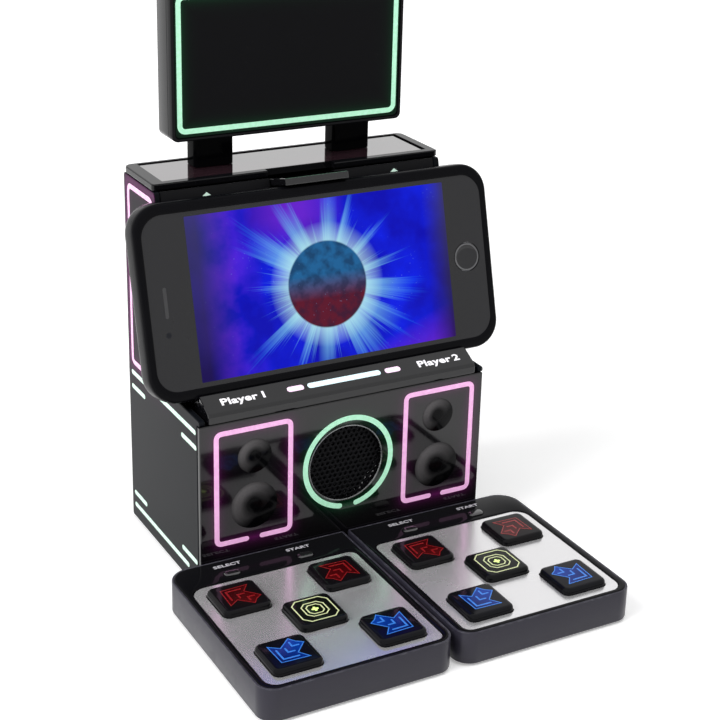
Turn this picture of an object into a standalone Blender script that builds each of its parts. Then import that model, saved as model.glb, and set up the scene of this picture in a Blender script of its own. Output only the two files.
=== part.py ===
"""Tabletop dance rhythm machine: cabinet, lit sign, two finger-dance pads and a docked handset.

Sizes are in millimetres and become metres in the helpers. X runs along the cabinet's width,
Y towards its back and Z up. The sizes below put the front panel's face at Y = 0 and the feet
on Z = 0; FORWARD then moves every piece so that the origin is under the object's middle.
"""
import bpy
import bmesh
from math import cos, pi, radians, sin, tan
from mathutils import Matrix, Vector

MM = 0.001
GAP = 0.3                    # clearance kept between pieces that touch

# ---- cabinet ------------------------------------------------------------------------------
HALF_WIDTH = 58.0
DEPTH = 68.0
TOP_Z = 143.2
WALL = 2.2                   # side panel thickness
INNER_HALF = HALF_WIDTH - WALL - GAP
SHELL_FLOOR_Z = 0.8          # lower edge of the side panels
SHOULDER_Z = 68.5            # top of the deep lower part
SHOULDER_Y = 19.0            # where the leaning upper part starts
LEAN = radians(15.0)         # backward lean of the handset and of the upper part
CAP_THICK = 2.4
CAP_FRONT_Y = 39.2
PANEL_THICK = 2.0
PANEL_TOP_Z = 66.2
GRILLE_Z = 40.6
GRILLE_R = 14.8
BASE_Z = (3.1, 4.9)

# ---- handset and its cradle ---------------------------------------------------------------
DOCK = (0.0, 18.1, 106.4)    # centre of the handset's front, on the leaning plane
CASE_SIZE = (142.6, 70.4)    # bumper case, along X and up the slope
CASE_DEPTH = 10.1
PHONE_SIZE = (138.3, 67.1)
PHONE_R = 8.5
CASE_R = 10.5
GLASS_DEPTH = (0.4, 1.5)     # how far the glass's front and back lie behind the case's front
BODY_DEPTH = (1.8, 7.5)
HOME_X = 60.2
HOME_R = 5.3
FACE_DEPTH = 11.1            # front of the cradle face, behind the case's front
JAW_HALF = 12.8
STEM_HALF = 7.0
STEM_FOOT = 8.0             # lower end of the clamp stem, up the slope from the dock's centre
SPRING_PEG_TOP = -8.5

# ---- sign ---------------------------------------------------------------------------------
SIGN_HALF = 46.5
SIGN_Z = (154.6, 209.6)
SIGN_Y = (48.5, 62.0)
SIGN_SEAM_Y = 52.3
POST_X = (20.5, 36.0)
POST_Y = (53.5, 61.5)

# ---- pads ---------------------------------------------------------------------------------
PAD_X = (0.9, 72.2)          # inner and outer edge of a pad, from the cabinet's middle
PAD_Y = (-82.3, -0.3)
PAD_TOP_Z = 13.0
BEZEL_FOOT_Z = 11.7          # the black bezel lies on the pad's grey frame
PAD_FLOOR = (0.8, 2.3)
PAD_WALL = 2.2
PLATE_X = (4.2, 69.0)
PLATE_Y = (-79.6, -15.0)
PLATE_Z = (11.9, 12.6)
BUTTON_SIZE = 18.0
BUTTON_PITCH = 19.4
BUTTON_CENTRE = (36.6, -47.7)
BUTTON_Z = (9.5, 14.9)
BUTTON_LAYOUT = (("back_outer", 1, 1), ("back_inner", -1, 1), ("centre", 0, 0),
                 ("front_outer", 1, -1), ("front_inner", -1, -1))   # steps outwards and back
KEY_SIZE = (6.2, 3.6)        # the small SELECT and START keys behind the plate
KEY_X = (21.9, 50.8)         # the inner and the outer key of a pad
KEY_Y = -10.9
KEY_Z = (8.8, 13.9)
KEY_FLANGE = (0.7, 0.9)      # how far it reaches out under the frame, and its thickness

# ---- power --------------------------------------------------------------------------------
CELL_R = 7.1
CELL_LENGTH = 50.4
CELL_PITCH = 14.9
CELL_Y = 57.6
BOX_Z = (17.0, 71.0)
SWITCH_AT = (43.0, 30.0)
SWITCH_PROUD = 0.9

# The middle of the object's length, from the pads' front edge to the switch's knob.
FORWARD = -(PAD_Y[0] + DEPTH + SWITCH_PROUD) / 2

COLOURS = {
    "black_gloss": ((0.012, 0.012, 0.014), 0.12, 0.0),
    "side_gloss": ((0.03, 0.03, 0.034), 0.18, 0.0),
    "black_matt": ((0.02, 0.02, 0.022), 0.45, 0.0),
    "pad_grey": ((0.09, 0.085, 0.11), 0.35, 0.0),
    "plate_silver": ((0.62, 0.62, 0.64), 0.28, 0.9),
    "button_black": ((0.015, 0.015, 0.015), 0.15, 0.0),
    "case_rubber": ((0.02, 0.02, 0.022), 0.4, 0.0),
    "glass_black": ((0.01, 0.01, 0.012), 0.05, 0.0),
    "phone_metal": ((0.25, 0.25, 0.27), 0.3, 0.9),
    "board_green": ((0.02, 0.12, 0.05), 0.5, 0.0),
    "spring_steel": ((0.55, 0.55, 0.57), 0.3, 1.0),
    "cell_jacket": ((0.15, 0.15, 0.17), 0.35, 0.2),
    "foot_rubber": ((0.03, 0.03, 0.03), 0.8, 0.0),
    "cone_paper": ((0.04, 0.04, 0.04), 0.8, 0.0),
    "membrane_grey": ((0.35, 0.35, 0.37), 0.7, 0.0),
}


# ---- scene helpers ------------------------------------------------------------------------
def clear_scene():
    for obj in list(bpy.data.objects):
        bpy.data.objects.remove(obj, do_unlink=True)


def new_collection(name):
    collection = bpy.data.collections.new(name)
    bpy.context.scene.collection.children.link(collection)
    return collection


clear_scene()
PARTS = new_collection("dance_machine")
CUTTERS = new_collection("cutters")


def new_material(name, kind):
    colour, roughness, metallic = COLOURS[kind]
    material = bpy.data.materials.new(name)
    material.use_nodes = True
    shader = material.node_tree.nodes["Principled BSDF"]
    shader.inputs["Base Color"].default_value = (*colour, 1.0)
    shader.inputs["Roughness"].default_value = roughness
    shader.inputs["Metallic"].default_value = metallic
    return material


def placed(at, parent=None):
    """A place in metres, moved to the object's own origin unless a parent does that."""
    forward = FORWARD if parent is None else 0.0
    return (Vector(at) + Vector((0.0, forward, 0.0))) * MM


def add_object(name, mesh, kind, at=(0.0, 0.0, 0.0), parent=None):
    """Link a mesh as a part, or as a cutter where kind is None, at a place in millimetres."""
    obj = bpy.data.objects.new(name, mesh)
    obj.location = placed(at, parent)
    obj.parent = parent
    if kind is None:
        CUTTERS.objects.link(obj)
        obj.hide_render = True
        obj.display_type = "WIRE"
    else:
        PARTS.objects.link(obj)
        mesh.materials.append(new_material(name + "_finish", kind))
    return obj


def add_empty(name, at, lean=0.0):
    empty = bpy.data.objects.new(name, None)
    PARTS.objects.link(empty)
    empty.location = placed(at)
    empty.rotation_euler = (-lean, 0.0, 0.0)
    return empty


def box_mesh(name, size, axis="Z", radii=(0, 0, 0, 0), steps=5):
    """A box about its own centre, with its four edges along axis rounded.

    The radii go to the corners (-,-), (+,-), (+,+), (-,+) of the two axes across, in order.
    """
    mesh = bpy.data.meshes.new(name)
    bm = bmesh.new()
    bmesh.ops.create_cube(bm, size=1.0)
    bmesh.ops.scale(bm, vec=Vector(size) * MM, verts=bm.verts)
    along = "XYZ".index(axis)
    across = [i for i in range(3) if i != along]
    corners = {(-1, -1): radii[0], (1, -1): radii[1], (1, 1): radii[2], (-1, 1): radii[3]}
    for corner, radius in corners.items():
        if radius <= 0:
            continue
        # An edge that is still sharp is the one whose two ends lie at this corner of the box.
        sharp = [e for e in bm.edges if all(
            abs(v.co[across[k]] - corner[k] * size[across[k]] * MM / 2) < 1e-7
            for v in e.verts for k in range(2))]
        bmesh.ops.bevel(bm, geom=sharp, offset=radius * MM, offset_type="OFFSET",
                        segments=steps, profile=0.5, affect="EDGES", clamp_overlap=True)
    bm.to_mesh(mesh)
    bm.free()
    return mesh


def box(name, kind, low, high, axis="Z", radii=(0, 0, 0, 0), steps=5, parent=None):
    """A box between two corners, given in millimetres."""
    low, high = Vector(low), Vector(high)
    mesh = box_mesh(name, high - low, axis, radii, steps)
    return add_object(name, mesh, kind, (low + high) / 2, parent)


def disc(name, kind, at, radius, depth, axis="Y", sides=32, parent=None):
    mesh = bpy.data.meshes.new(name)
    bm = bmesh.new()
    bmesh.ops.create_cone(bm, cap_ends=True, segments=sides, radius1=radius * MM,
                          radius2=radius * MM, depth=depth * MM)
    if axis == "Y":
        bmesh.ops.rotate(bm, verts=bm.verts, matrix=Matrix.Rotation(pi / 2, 3, "X"))
    bm.to_mesh(mesh)
    bm.free()
    mesh.shade_smooth()
    return add_object(name, mesh, kind, at, parent)


def rounded(points, radius, steps=4):
    """Round every corner of a closed outline with an arc of about this radius."""
    outline = []
    for i, here in enumerate(points):
        before = Vector(points[i - 1])
        after = Vector(points[(i + 1) % len(points)])
        here = Vector(here)
        into = (here - before).normalized()
        out = (after - here).normalized()
        turn = into.angle_signed(out)
        if abs(turn) < radians(2):
            outline.append(here)
            continue
        setback = min(radius * tan(abs(turn) / 2), (here - before).length / 2.2,
                      (after - here).length / 2.2)
        for k in range(steps + 1):
            f = k / steps
            outline.append((here - into * setback) * (1 - f) ** 2 + here * 2 * f * (1 - f)
                           + (here + out * setback) * f ** 2)
    return outline


def prism(name, kind, outline, x_low, x_high, bevel=0.4):
    """A flat outline of (Y, Z) points, as thick as the span from x_low to x_high."""
    curve = bpy.data.curves.new(name, "CURVE")
    curve.dimensions = "2D"
    curve.fill_mode = "BOTH"
    curve.extrude = (x_high - x_low) / 2 * MM
    spline = curve.splines.new("POLY")
    spline.points.add(len(outline) - 1)
    for point, (y, z) in zip(spline.points, outline):
        point.co = (y * MM, z * MM, 0.0, 1.0)
    spline.use_cyclic_u = True
    drawing = bpy.data.objects.new(name + "_outline", curve)
    mesh = bpy.data.meshes.new_from_object(drawing)
    bpy.data.objects.remove(drawing)
    # The outline is drawn in X and Y, so it is turned to stand in Y and Z.
    turn = Matrix.Rotation(pi / 2, 4, "Z") @ Matrix.Rotation(pi / 2, 4, "X")
    mesh.transform(turn)
    bm = bmesh.new()
    bm.from_mesh(mesh)
    bmesh.ops.remove_doubles(bm, verts=bm.verts, dist=1e-6)
    bmesh.ops.dissolve_limit(bm, angle_limit=radians(1), verts=bm.verts, edges=bm.edges)
    bm.to_mesh(mesh)
    bm.free()
    mesh.materials.clear()
    obj = add_object(name, mesh, kind, ((x_low + x_high) / 2, 0, 0))
    soften(obj, bevel)
    return obj


def turned(name, kind, profile, at, axis="Z", steps=24, parent=None):
    """A profile of (radius, height) points from the top down, turned about the piece's axis."""
    mesh = bpy.data.meshes.new(name)
    bm = bmesh.new()
    verts = [bm.verts.new((r * MM, 0.0, z * MM)) for r, z in profile]
    for a, b in zip(verts, verts[1:]):
        bm.edges.new((a, b))
    bm.to_mesh(mesh)
    bm.free()
    obj = add_object(name, mesh, kind, at, parent)
    screw = obj.modifiers.new("turn", "SCREW")
    screw.steps = steps
    screw.render_steps = steps
    screw.use_merge_vertices = True
    screw.merge_threshold = 0.00001
    if axis == "Y":
        obj.rotation_euler = (pi / 2, 0.0, 0.0)
    return obj


def soften(obj, width, segments=2):
    """Round off the sharp edges of a piece a little."""
    bevel = obj.modifiers.new("edges", "BEVEL")
    bevel.width = width * MM
    bevel.segments = segments
    bevel.limit_method = "ANGLE"
    bevel.angle_limit = radians(40)
    bevel.miter_outer = "MITER_ARC" if segments > 1 else "MITER_SHARP"


def combine(obj, other, operation="DIFFERENCE"):
    """Cut the other solid out of a piece, or join it on."""
    boolean = obj.modifiers.new(operation.lower() + "_" + other.name, "BOOLEAN")
    boolean.operation = operation
    boolean.solver = "EXACT"
    boolean.object = other


def mirror_span(side, span):
    """A span measured outwards from the middle, as low and high X on one side."""
    low, high = sorted((side * span[0], side * span[1]))
    return low, high


def dock_point(up, depth):
    """(Y, Z) of a point up the slope from the dock's centre and behind the case's front."""
    y = DOCK[1] + up * sin(LEAN) + depth * cos(LEAN)
    z = DOCK[2] + up * cos(LEAN) - depth * sin(LEAN)
    return y, z


# ---- cabinet ------------------------------------------------------------------------------
def make_side_panels():
    under_cap = TOP_Z - CAP_THICK - GAP
    slope_top = SHOULDER_Y + (under_cap - SHOULDER_Z) * tan(LEAN)
    behind_front = PANEL_THICK + GAP          # the front panel covers the sides' front edges
    outline = [(behind_front, SHELL_FLOOR_Z), (DEPTH, SHELL_FLOOR_Z), (DEPTH, under_cap),
               (slope_top, under_cap), (SHOULDER_Y, SHOULDER_Z), (0.0, SHOULDER_Z),
               (0.0, PANEL_TOP_Z + GAP), (behind_front, PANEL_TOP_Z + GAP)]
    outline = rounded(outline, 0.9, 3)
    for name, side in (("left_side_panel", -1), ("right_side_panel", 1)):
        low, high = mirror_span(side, (HALF_WIDTH - WALL, HALF_WIDTH))
        prism(name, "side_gloss", outline, low, high)


def make_front_panel():
    panel = box("front_panel", "black_gloss", (-HALF_WIDTH, 0.0, BASE_Z[0]),
                (HALF_WIDTH, PANEL_THICK, PANEL_TOP_Z))
    hole = disc("grille_hole", None, (0.0, PANEL_THICK / 2, GRILLE_Z), GRILLE_R, 10.0)
    soften(panel, 0.3, 1)
    combine(panel, hole)


def make_ledge():
    """The lip that holds the handset's lower edge, with the sloping floor behind it."""
    case_foot = -CASE_SIZE[1] / 2 - GAP
    outline = [(0.0, PANEL_TOP_Z + GAP), (0.0, 69.2), (0.6, 70.5), (7.9, 74.2),
               (dock_point(case_foot + 2.0, -0.5)[0], 74.2),
               dock_point(case_foot, -0.5), dock_point(case_foot, FACE_DEPTH - GAP),
               (dock_point(case_foot, FACE_DEPTH - GAP)[0], PANEL_TOP_Z + GAP)]
    prism("ledge", "black_gloss", outline, -INNER_HALF + 1.0, INNER_HALF - 1.0, bevel=0.5)


def make_cradle_face(dock):
    """The leaning wall that the handset's back lies against, slotted for the clamp's stem."""
    foot = -CASE_SIZE[1] / 2 + 0.6
    under_cap = TOP_Z - CAP_THICK - GAP
    top = (under_cap - DOCK[2] + FACE_DEPTH * sin(LEAN)) / cos(LEAN)
    back = FACE_DEPTH + 2.0
    face = box("cradle_face", "black_matt", (-INNER_HALF, FACE_DEPTH, foot),
               (INNER_HALF, back, top), parent=dock)
    peg = box("spring_peg", None, (-2, back - 0.5, SPRING_PEG_TOP - 2.0),
              (2, back + 5.5, SPRING_PEG_TOP), parent=dock)
    combine(face, peg, "UNION")
    notch = box("clamp_notch", None, (-JAW_HALF - 0.4, FACE_DEPTH - 3, CASE_SIZE[1] / 2 - 2.5),
                (JAW_HALF + 0.4, back + 3, top + 5), parent=dock)
    slot = box("clamp_slot", None, (-STEM_HALF - GAP, FACE_DEPTH - 3, STEM_FOOT - 0.4),
               (STEM_HALF + GAP, back + 3, top + 5), parent=dock)
    combine(face, notch)
    combine(face, slot)


def make_top():
    cap_low = TOP_Z - CAP_THICK
    cap = box("top_cap", "side_gloss", (-HALF_WIDTH, CAP_FRONT_Y, cap_low),
              (HALF_WIDTH, DEPTH, TOP_Z), radii=(1.5, 1.5, 3.0, 3.0))
    soften(cap, 0.4, 2)
    inset_low, inset_high = (-53.0, 42.5, 142.2), (53.0, 65.0, 142.9)
    clear = Vector((GAP, GAP, GAP))
    recess = box("inset_recess", None, Vector(inset_low) - clear, Vector(inset_high) + clear * 5)
    combine(cap, recess)
    inset = box("top_inset", "black_gloss", inset_low, inset_high)
    # The clamp's jaw rises through a notch at the middle of the cap's front edge.
    notch = box("cap_notch", None, (-JAW_HALF - 0.8, CAP_FRONT_Y - 5, cap_low - 5),
                (JAW_HALF + 0.8, CAP_FRONT_Y + 2.5, TOP_Z + 5))
    combine(cap, notch)
    for side, name in ((-1, "left_post"), (1, "right_post")):
        low, high = mirror_span(side, POST_X)
        post = box(name, "black_gloss", (low, POST_Y[0], inset_high[2] + GAP),
                   (high, POST_Y[1], SIGN_Z[0] - GAP), radii=(1.5, 1.5, 1.5, 1.5), steps=3)
        tenon = box(name + "_tenon", None, (low + 3, POST_Y[0] + 1.5, cap_low - 2.5),
                    (high - 3, POST_Y[1] - 1.5, inset_high[2] + 2))
        combine(post, tenon, "UNION")
        hole = box(name + "_hole", None, (low + 3 - GAP, POST_Y[0] + 1.5 - GAP, cap_low - 5),
                   (high - 3 + GAP, POST_Y[1] - 1.5 + GAP, TOP_Z + 5))
        combine(cap, hole)
        combine(inset, hole)


def make_back_and_base():
    door_x, door_z = 32.5, (15.5, 72.5)
    back = box("back_cover", "black_matt", (-INNER_HALF, DEPTH - 2, BASE_Z[0]),
               (INNER_HALF, DEPTH, TOP_Z - CAP_THICK - GAP))
    soften(back, 0.3, 1)
    window = box("door_window", None, (-door_x - GAP, DEPTH - 9, door_z[0] - GAP),
                 (door_x + GAP, DEPTH + 9, door_z[1] + GAP))
    combine(back, window)
    slot_half = (5.0, 2.2)
    slot = box("switch_slot", None,
               (SWITCH_AT[0] - slot_half[0], DEPTH - 9, SWITCH_AT[1] - slot_half[1]),
               (SWITCH_AT[0] + slot_half[0], DEPTH + 9, SWITCH_AT[1] + slot_half[1]))
    combine(back, slot)
    door = box("battery_door", "black_matt", (-door_x, DEPTH - 1.8, door_z[0]),
               (door_x, DEPTH - 0.2, door_z[1]))
    soften(door, 0.3, 1)
    knob = box("power_switch", "black_matt", (SWITCH_AT[0] - 4.4, DEPTH - 2.6, SWITCH_AT[1] - 1.8),
               (SWITCH_AT[0] - 0.4, DEPTH + SWITCH_PROUD, SWITCH_AT[1] + 1.8))
    soften(knob, 0.3, 1)
    box("base_plate", "black_matt", (-INNER_HALF, PANEL_THICK + GAP, BASE_Z[0]),
        (INNER_HALF, DEPTH - 2 - GAP, BASE_Z[1]))
    box("rear_foot", "foot_rubber", (-45, 57, 0), (45, 63, BASE_Z[0] - GAP),
        radii=(2, 2, 2, 2), steps=3)


# ---- inside the cabinet -------------------------------------------------------------------
def make_speaker():
    grille = disc("speaker_grille", "black_matt", (0, PANEL_THICK + GAP + 0.5, GRILLE_Z),
                  GRILLE_R + 2.0, 1.0)
    ring_step = 3.9
    spots = [(0.0, 0.0)]
    for ring in range(1, 4):
        for k in range(6 * ring):
            turn = 2 * pi * k / (6 * ring)
            spots.append((ring * ring_step * sin(turn), ring * ring_step * cos(turn)))
    bm = bmesh.new()
    for x, z in spots:
        place = Matrix.Translation(Vector((x, 0, z)) * MM) @ Matrix.Rotation(pi / 2, 4, "X")
        bmesh.ops.create_cone(bm, cap_ends=True, segments=8, radius1=1.25 * MM,
                              radius2=1.25 * MM, depth=6 * MM, matrix=place)
    mesh = bpy.data.meshes.new("grille_punch")
    bm.to_mesh(mesh)
    bm.free()
    punch = add_object("grille_punch", mesh, None, (0, PANEL_THICK + GAP + 0.5, GRILLE_Z))
    combine(grille, punch)
    # Each profile is (radius, distance behind the front), turned about the grille's axis.
    front = PANEL_THICK + GAP + 1.0 + GAP
    frame = [(16.0, 0.0), (16.8, 0.0), (16.8, -1.4), (15.6, -1.8), (9.0, -9.0), (7.0, -9.0),
             (7.0, -8.0), (8.6, -7.8), (14.6, -1.2), (16.0, 0.0)]
    basket = turned("speaker_frame", "spring_steel", frame, (0, front, GRILLE_Z), "Y")
    cone = [(0.0, -3.6), (3.6, -4.6), (13.2, -0.9), (14.2, -0.5), (14.0, -1.1), (13.3, -1.5),
            (3.9, -5.4), (0.0, -4.4)]
    turned("speaker_cone", "cone_paper", cone, (0, front, GRILLE_Z), "Y")
    # The magnet is bonded to the basket, so the two are one solid.
    magnet = [(0.0, -8.9), (10.0, -8.9), (11.0, -9.8), (11.0, -14.0), (10.0, -14.8),
              (0.0, -14.8)]
    combine(basket, turned("speaker_magnet", None, magnet, (0, front, GRILLE_Z), "Y"), "UNION")


def make_power():
    half = CELL_PITCH * 2 + 1.0 + 1.4
    tray = box("battery_box", "black_matt", (-half, 48.6, BOX_Z[0]),
               (half, DEPTH - 2 - GAP, BOX_Z[1]))
    hollow = box("battery_hollow", None, (-half + 1.4, 50.0, BOX_Z[0] + 1.4),
                 (half - 1.4, DEPTH + 5, BOX_Z[1] - 1.4))
    combine(tray, hollow)
    cell_low = (BOX_Z[0] + BOX_Z[1] - CELL_LENGTH) / 2
    end = CELL_LENGTH
    profile = [(0.0, end), (2.6, end), (2.6, end - 1.2), (6.4, end - 1.2),
               (CELL_R, end - 2.0), (CELL_R, 0.6), (6.5, 0.0), (0.0, 0.0)]
    for k in range(4):
        cell = turned("battery_cell_%d" % (k + 1), "cell_jacket", profile,
                      ((k - 1.5) * CELL_PITCH, CELL_Y, cell_low), steps=16)
        if k % 2:
            # Every other cell stands on its head.
            cell.rotation_euler = (pi, 0.0, 0.0)
            cell.location.z = (cell_low + CELL_LENGTH) * MM
    board = box("main_board", "board_green", (-34, 55.0, 84), (34, 56.6, 128))
    soften(board, 0.3, 1)


# ---- handset and clamp --------------------------------------------------------------------
def make_handset(dock):
    """A generic handset in a bumper case, lying in the cradle with its long side level."""
    def slab(name, kind, size, depth, radius, steps=5):
        low = (-size[0] / 2, depth[0], -size[1] / 2)
        high = (size[0] / 2, depth[1], size[1] / 2)
        return box(name, kind, low, high, axis="Y", radii=(radius,) * 4, steps=steps, parent=dock)

    case = slab("phone_case", "case_rubber", CASE_SIZE, (0.0, CASE_DEPTH), CASE_R)
    soften(case, 1.6, 2)
    pocket_size = (PHONE_SIZE[0] + 2 * GAP, PHONE_SIZE[1] + 2 * GAP)
    pocket = slab("phone_pocket", None, pocket_size, (-5.0, BODY_DEPTH[1] + GAP), PHONE_R)
    combine(case, pocket)
    body = slab("phone_body", "phone_metal", PHONE_SIZE, BODY_DEPTH, PHONE_R)
    glass = slab("phone_glass", "glass_black", PHONE_SIZE, GLASS_DEPTH, PHONE_R)
    shaft = disc("home_hole", None, (HOME_X, 0.0, 0.0), HOME_R + GAP, 5.4, parent=dock)
    combine(glass, shaft)
    combine(body, shaft)
    disc("home_button", "glass_black", (HOME_X, 1.2, 0.0), HOME_R, 1.2, parent=dock)


def make_clamp(dock):
    """A sprung jaw over the case's top edge, on a stem that slides in the cradle face's slot."""
    jaw_foot = CASE_SIZE[1] / 2 + GAP
    jaw_top = jaw_foot + 2.6
    jaw = box("clamp_jaw", "black_gloss", (-JAW_HALF, -1.4, jaw_foot),
              (JAW_HALF, FACE_DEPTH + 1.5, jaw_top), parent=dock)
    stem = box("clamp_stem", None, (-STEM_HALF, FACE_DEPTH + 0.2, STEM_FOOT),
               (STEM_HALF, FACE_DEPTH + 1.8, jaw_top - 0.5), parent=dock)
    hook = box("clamp_hook", None, (-2, FACE_DEPTH + 1.0, STEM_FOOT),
               (2, FACE_DEPTH + 7.5, STEM_FOOT + 2.0), parent=dock)
    soften(jaw, 0.4, 2)
    combine(jaw, stem, "UNION")
    combine(jaw, hook, "UNION")
    make_clamp_spring(dock)


def make_clamp_spring(dock):
    """A coil that pulls the jaw's hook towards the peg on the cradle face."""
    turns, per_turn, radius = 7, 10, 2.2
    wire_r = 0.35
    top = STEM_FOOT - GAP - wire_r
    length = top - (SPRING_PEG_TOP + GAP + wire_r)
    curve = bpy.data.curves.new("clamp_spring", "CURVE")
    curve.dimensions = "3D"
    curve.bevel_depth = wire_r * MM
    curve.bevel_resolution = 1
    curve.render_resolution_u = 0
    curve.use_fill_caps = True
    spline = curve.splines.new("POLY")
    count = turns * per_turn + 1
    spline.points.add(count - 1)
    for k, point in enumerate(spline.points):
        turn = 2 * pi * k / per_turn
        height = -length * k / (count - 1)
        point.co = (radius * cos(turn) * MM, radius * sin(turn) * MM, height * MM, 1.0)
    add_object("clamp_spring", curve, "spring_steel", (0, FACE_DEPTH + 5.4, top), dock)


# ---- sign ---------------------------------------------------------------------------------
def make_sign():
    lip = 1.2
    bezel = box("sign_bezel", "black_gloss", (-SIGN_HALF, SIGN_Y[0], SIGN_Z[0]),
                (SIGN_HALF, SIGN_SEAM_Y - GAP / 2, SIGN_Z[1]), axis="Y", radii=(2.5,) * 4)
    soften(bezel, 0.4, 2)
    window = box("sign_window", None, (-SIGN_HALF + lip, SIGN_Y[0] - 3, SIGN_Z[0] + lip),
                 (SIGN_HALF - lip, SIGN_SEAM_Y + 3, SIGN_Z[1] - lip), axis="Y", radii=(1.8,) * 4)
    combine(bezel, window)
    box("sign_panel", "black_gloss", (-SIGN_HALF + lip + GAP, SIGN_Y[0] + 0.5, SIGN_Z[0] + lip + GAP),
        (SIGN_HALF - lip - GAP, SIGN_Y[0] + 2.3, SIGN_Z[1] - lip - GAP), axis="Y",
        radii=(1.5,) * 4)
    shell = box("sign_shell", "side_gloss", (-SIGN_HALF, SIGN_SEAM_Y + GAP / 2, SIGN_Z[0]),
                (SIGN_HALF, SIGN_Y[1], SIGN_Z[1]), axis="Y", radii=(2.5,) * 4)
    soften(shell, 0.5, 2)
    inside = box("sign_inside", None, (-SIGN_HALF + 2, SIGN_SEAM_Y - 5, SIGN_Z[0] + 2),
                 (SIGN_HALF - 2, SIGN_Y[1] - 2, SIGN_Z[1] - 2))
    combine(shell, inside)


# ---- pads ---------------------------------------------------------------------------------
def pad_box(name, kind, side, span_x, span_y, span_z, radii=(0, 0, 0, 0), steps=5):
    """A box on one pad. Its radii are for the front inner, front outer, back outer and
    back inner corners."""
    low, high = mirror_span(side, span_x)
    order = radii if side > 0 else (radii[1], radii[0], radii[3], radii[2])
    return box(name, kind, (low, span_y[0], span_z[0]), (high, span_y[1], span_z[1]),
               radii=order, steps=steps)


def grown(span, by):
    return span[0] - by, span[1] + by


def make_pad(name, side):
    outer_radii = (6.5, 6.5, 8.5, 1.0)
    plate_radii = (3.0, 4.5, 5.5, 3.0)
    frame = pad_box(name + "_frame", "pad_grey", side, PAD_X, PAD_Y,
                    (PAD_FLOOR[1] + GAP, BEZEL_FOOT_Z - GAP), outer_radii)
    hollow = pad_box(name + "_hollow", None, side, grown(PAD_X, -PAD_WALL),
                     grown(PAD_Y, -PAD_WALL), (-1.0, BEZEL_FOOT_Z - 1.8), (4.0, 4.0, 6.5, 0.5),
                     steps=3)
    opening = pad_box(name + "_opening", None, side, grown(PLATE_X, -1.8),
                      grown(PLATE_Y, -1.8), (5.0, 16.0), (1.5, 3.0, 4.0, 1.5), steps=3)
    combine(frame, hollow)
    combine(frame, opening)
    bezel = pad_box(name + "_bezel", "black_gloss", side, PAD_X, PAD_Y,
                    (BEZEL_FOOT_Z, PAD_TOP_Z), outer_radii)
    soften(bezel, 0.4, 2)
    seat = pad_box(name + "_seat", None, side, grown(PLATE_X, GAP), grown(PLATE_Y, GAP),
                   (5.0, 20.0), plate_radii)
    combine(bezel, seat)
    plate = pad_box(name + "_plate", "plate_silver", side, PLATE_X, PLATE_Y, PLATE_Z, plate_radii)
    floor = pad_box(name + "_floor", "black_matt", side, PAD_X, PAD_Y, PAD_FLOOR, outer_radii)
    # A tongue under the cabinet's base plate ties the pad to the cabinet.
    tongue = pad_box(name + "_tongue", None, side, (6.0, 52.0), (-8.0, 16.0), PAD_FLOOR)
    combine(floor, tongue, "UNION")
    board_x, board_y = (8.0, 65.0), (-76.0, -5.6)
    pad_box(name + "_board", "board_green", side, board_x, board_y, (3.6, 5.2))
    membrane = pad_box(name + "_membrane", "membrane_grey", side, board_x, board_y, (5.5, 6.3))
    pad_box(name + "_foot", "foot_rubber", side, (16.0, 57.0), (-76.5, -71.5), (0.0, 0.5),
            (2, 2, 2, 2), steps=3)
    for place, step_x, step_y in BUTTON_LAYOUT:
        centre = (side * (BUTTON_CENTRE[0] + step_x * BUTTON_PITCH),
                  BUTTON_CENTRE[1] + step_y * BUTTON_PITCH)
        make_button(name, place, centre, plate, membrane)
    # SELECT is on the player's left on both pads.
    for word, across in zip(("select", "start"), KEY_X if side > 0 else KEY_X[::-1]):
        make_key(name, word, (side * across, KEY_Y), frame, bezel, membrane)


def dome(name, centre, radius):
    """A rubber switch dome that is joined to its membrane, at its pressed height."""
    mesh = bpy.data.meshes.new(name)
    bm = bmesh.new()
    bmesh.ops.create_cone(bm, cap_ends=True, segments=12, radius1=radius * MM,
                          radius2=radius * 0.6 * MM, depth=2.0 * MM)
    bm.to_mesh(mesh)
    bm.free()
    return add_object(name, mesh, None, (*centre, 6.8))


def make_button(pad, place, centre, plate, membrane):
    name = "%s_%s_button" % (pad, place)
    half = BUTTON_SIZE / 2
    x, y = centre
    radii = (2.6,) * 4
    cap = box(name, "button_black", (x - half, y - half, BUTTON_Z[0]),
              (x + half, y + half, BUTTON_Z[1]), radii=radii, steps=3)
    flange_half = half + 0.5
    flange = box(name + "_flange", None, (x - flange_half, y - flange_half, BUTTON_Z[0]),
                 (x + flange_half, y + flange_half, BUTTON_Z[0] + 1.2), radii=radii, steps=3)
    soften(cap, 0.9, 2)
    combine(cap, flange, "UNION")
    hole_half = half + 0.25
    hole = box(name + "_hole", None, (x - hole_half, y - hole_half, PLATE_Z[0] - 3),
               (x + hole_half, y + hole_half, PLATE_Z[1] + 3), radii=radii, steps=3)
    combine(plate, hole)
    combine(membrane, dome(name + "_dome", centre, 3.4), "UNION")


def key_box(name, kind, centre, by, span_z):
    """An oval block round a key's middle, larger than the key by this much all round."""
    half_x, half_y = KEY_SIZE[0] / 2 + by, KEY_SIZE[1] / 2 + by
    return box(name, kind, (centre[0] - half_x, centre[1] - half_y, span_z[0]),
               (centre[0] + half_x, centre[1] + half_y, span_z[1]),
               radii=(half_y - 0.1,) * 4, steps=5)


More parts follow.
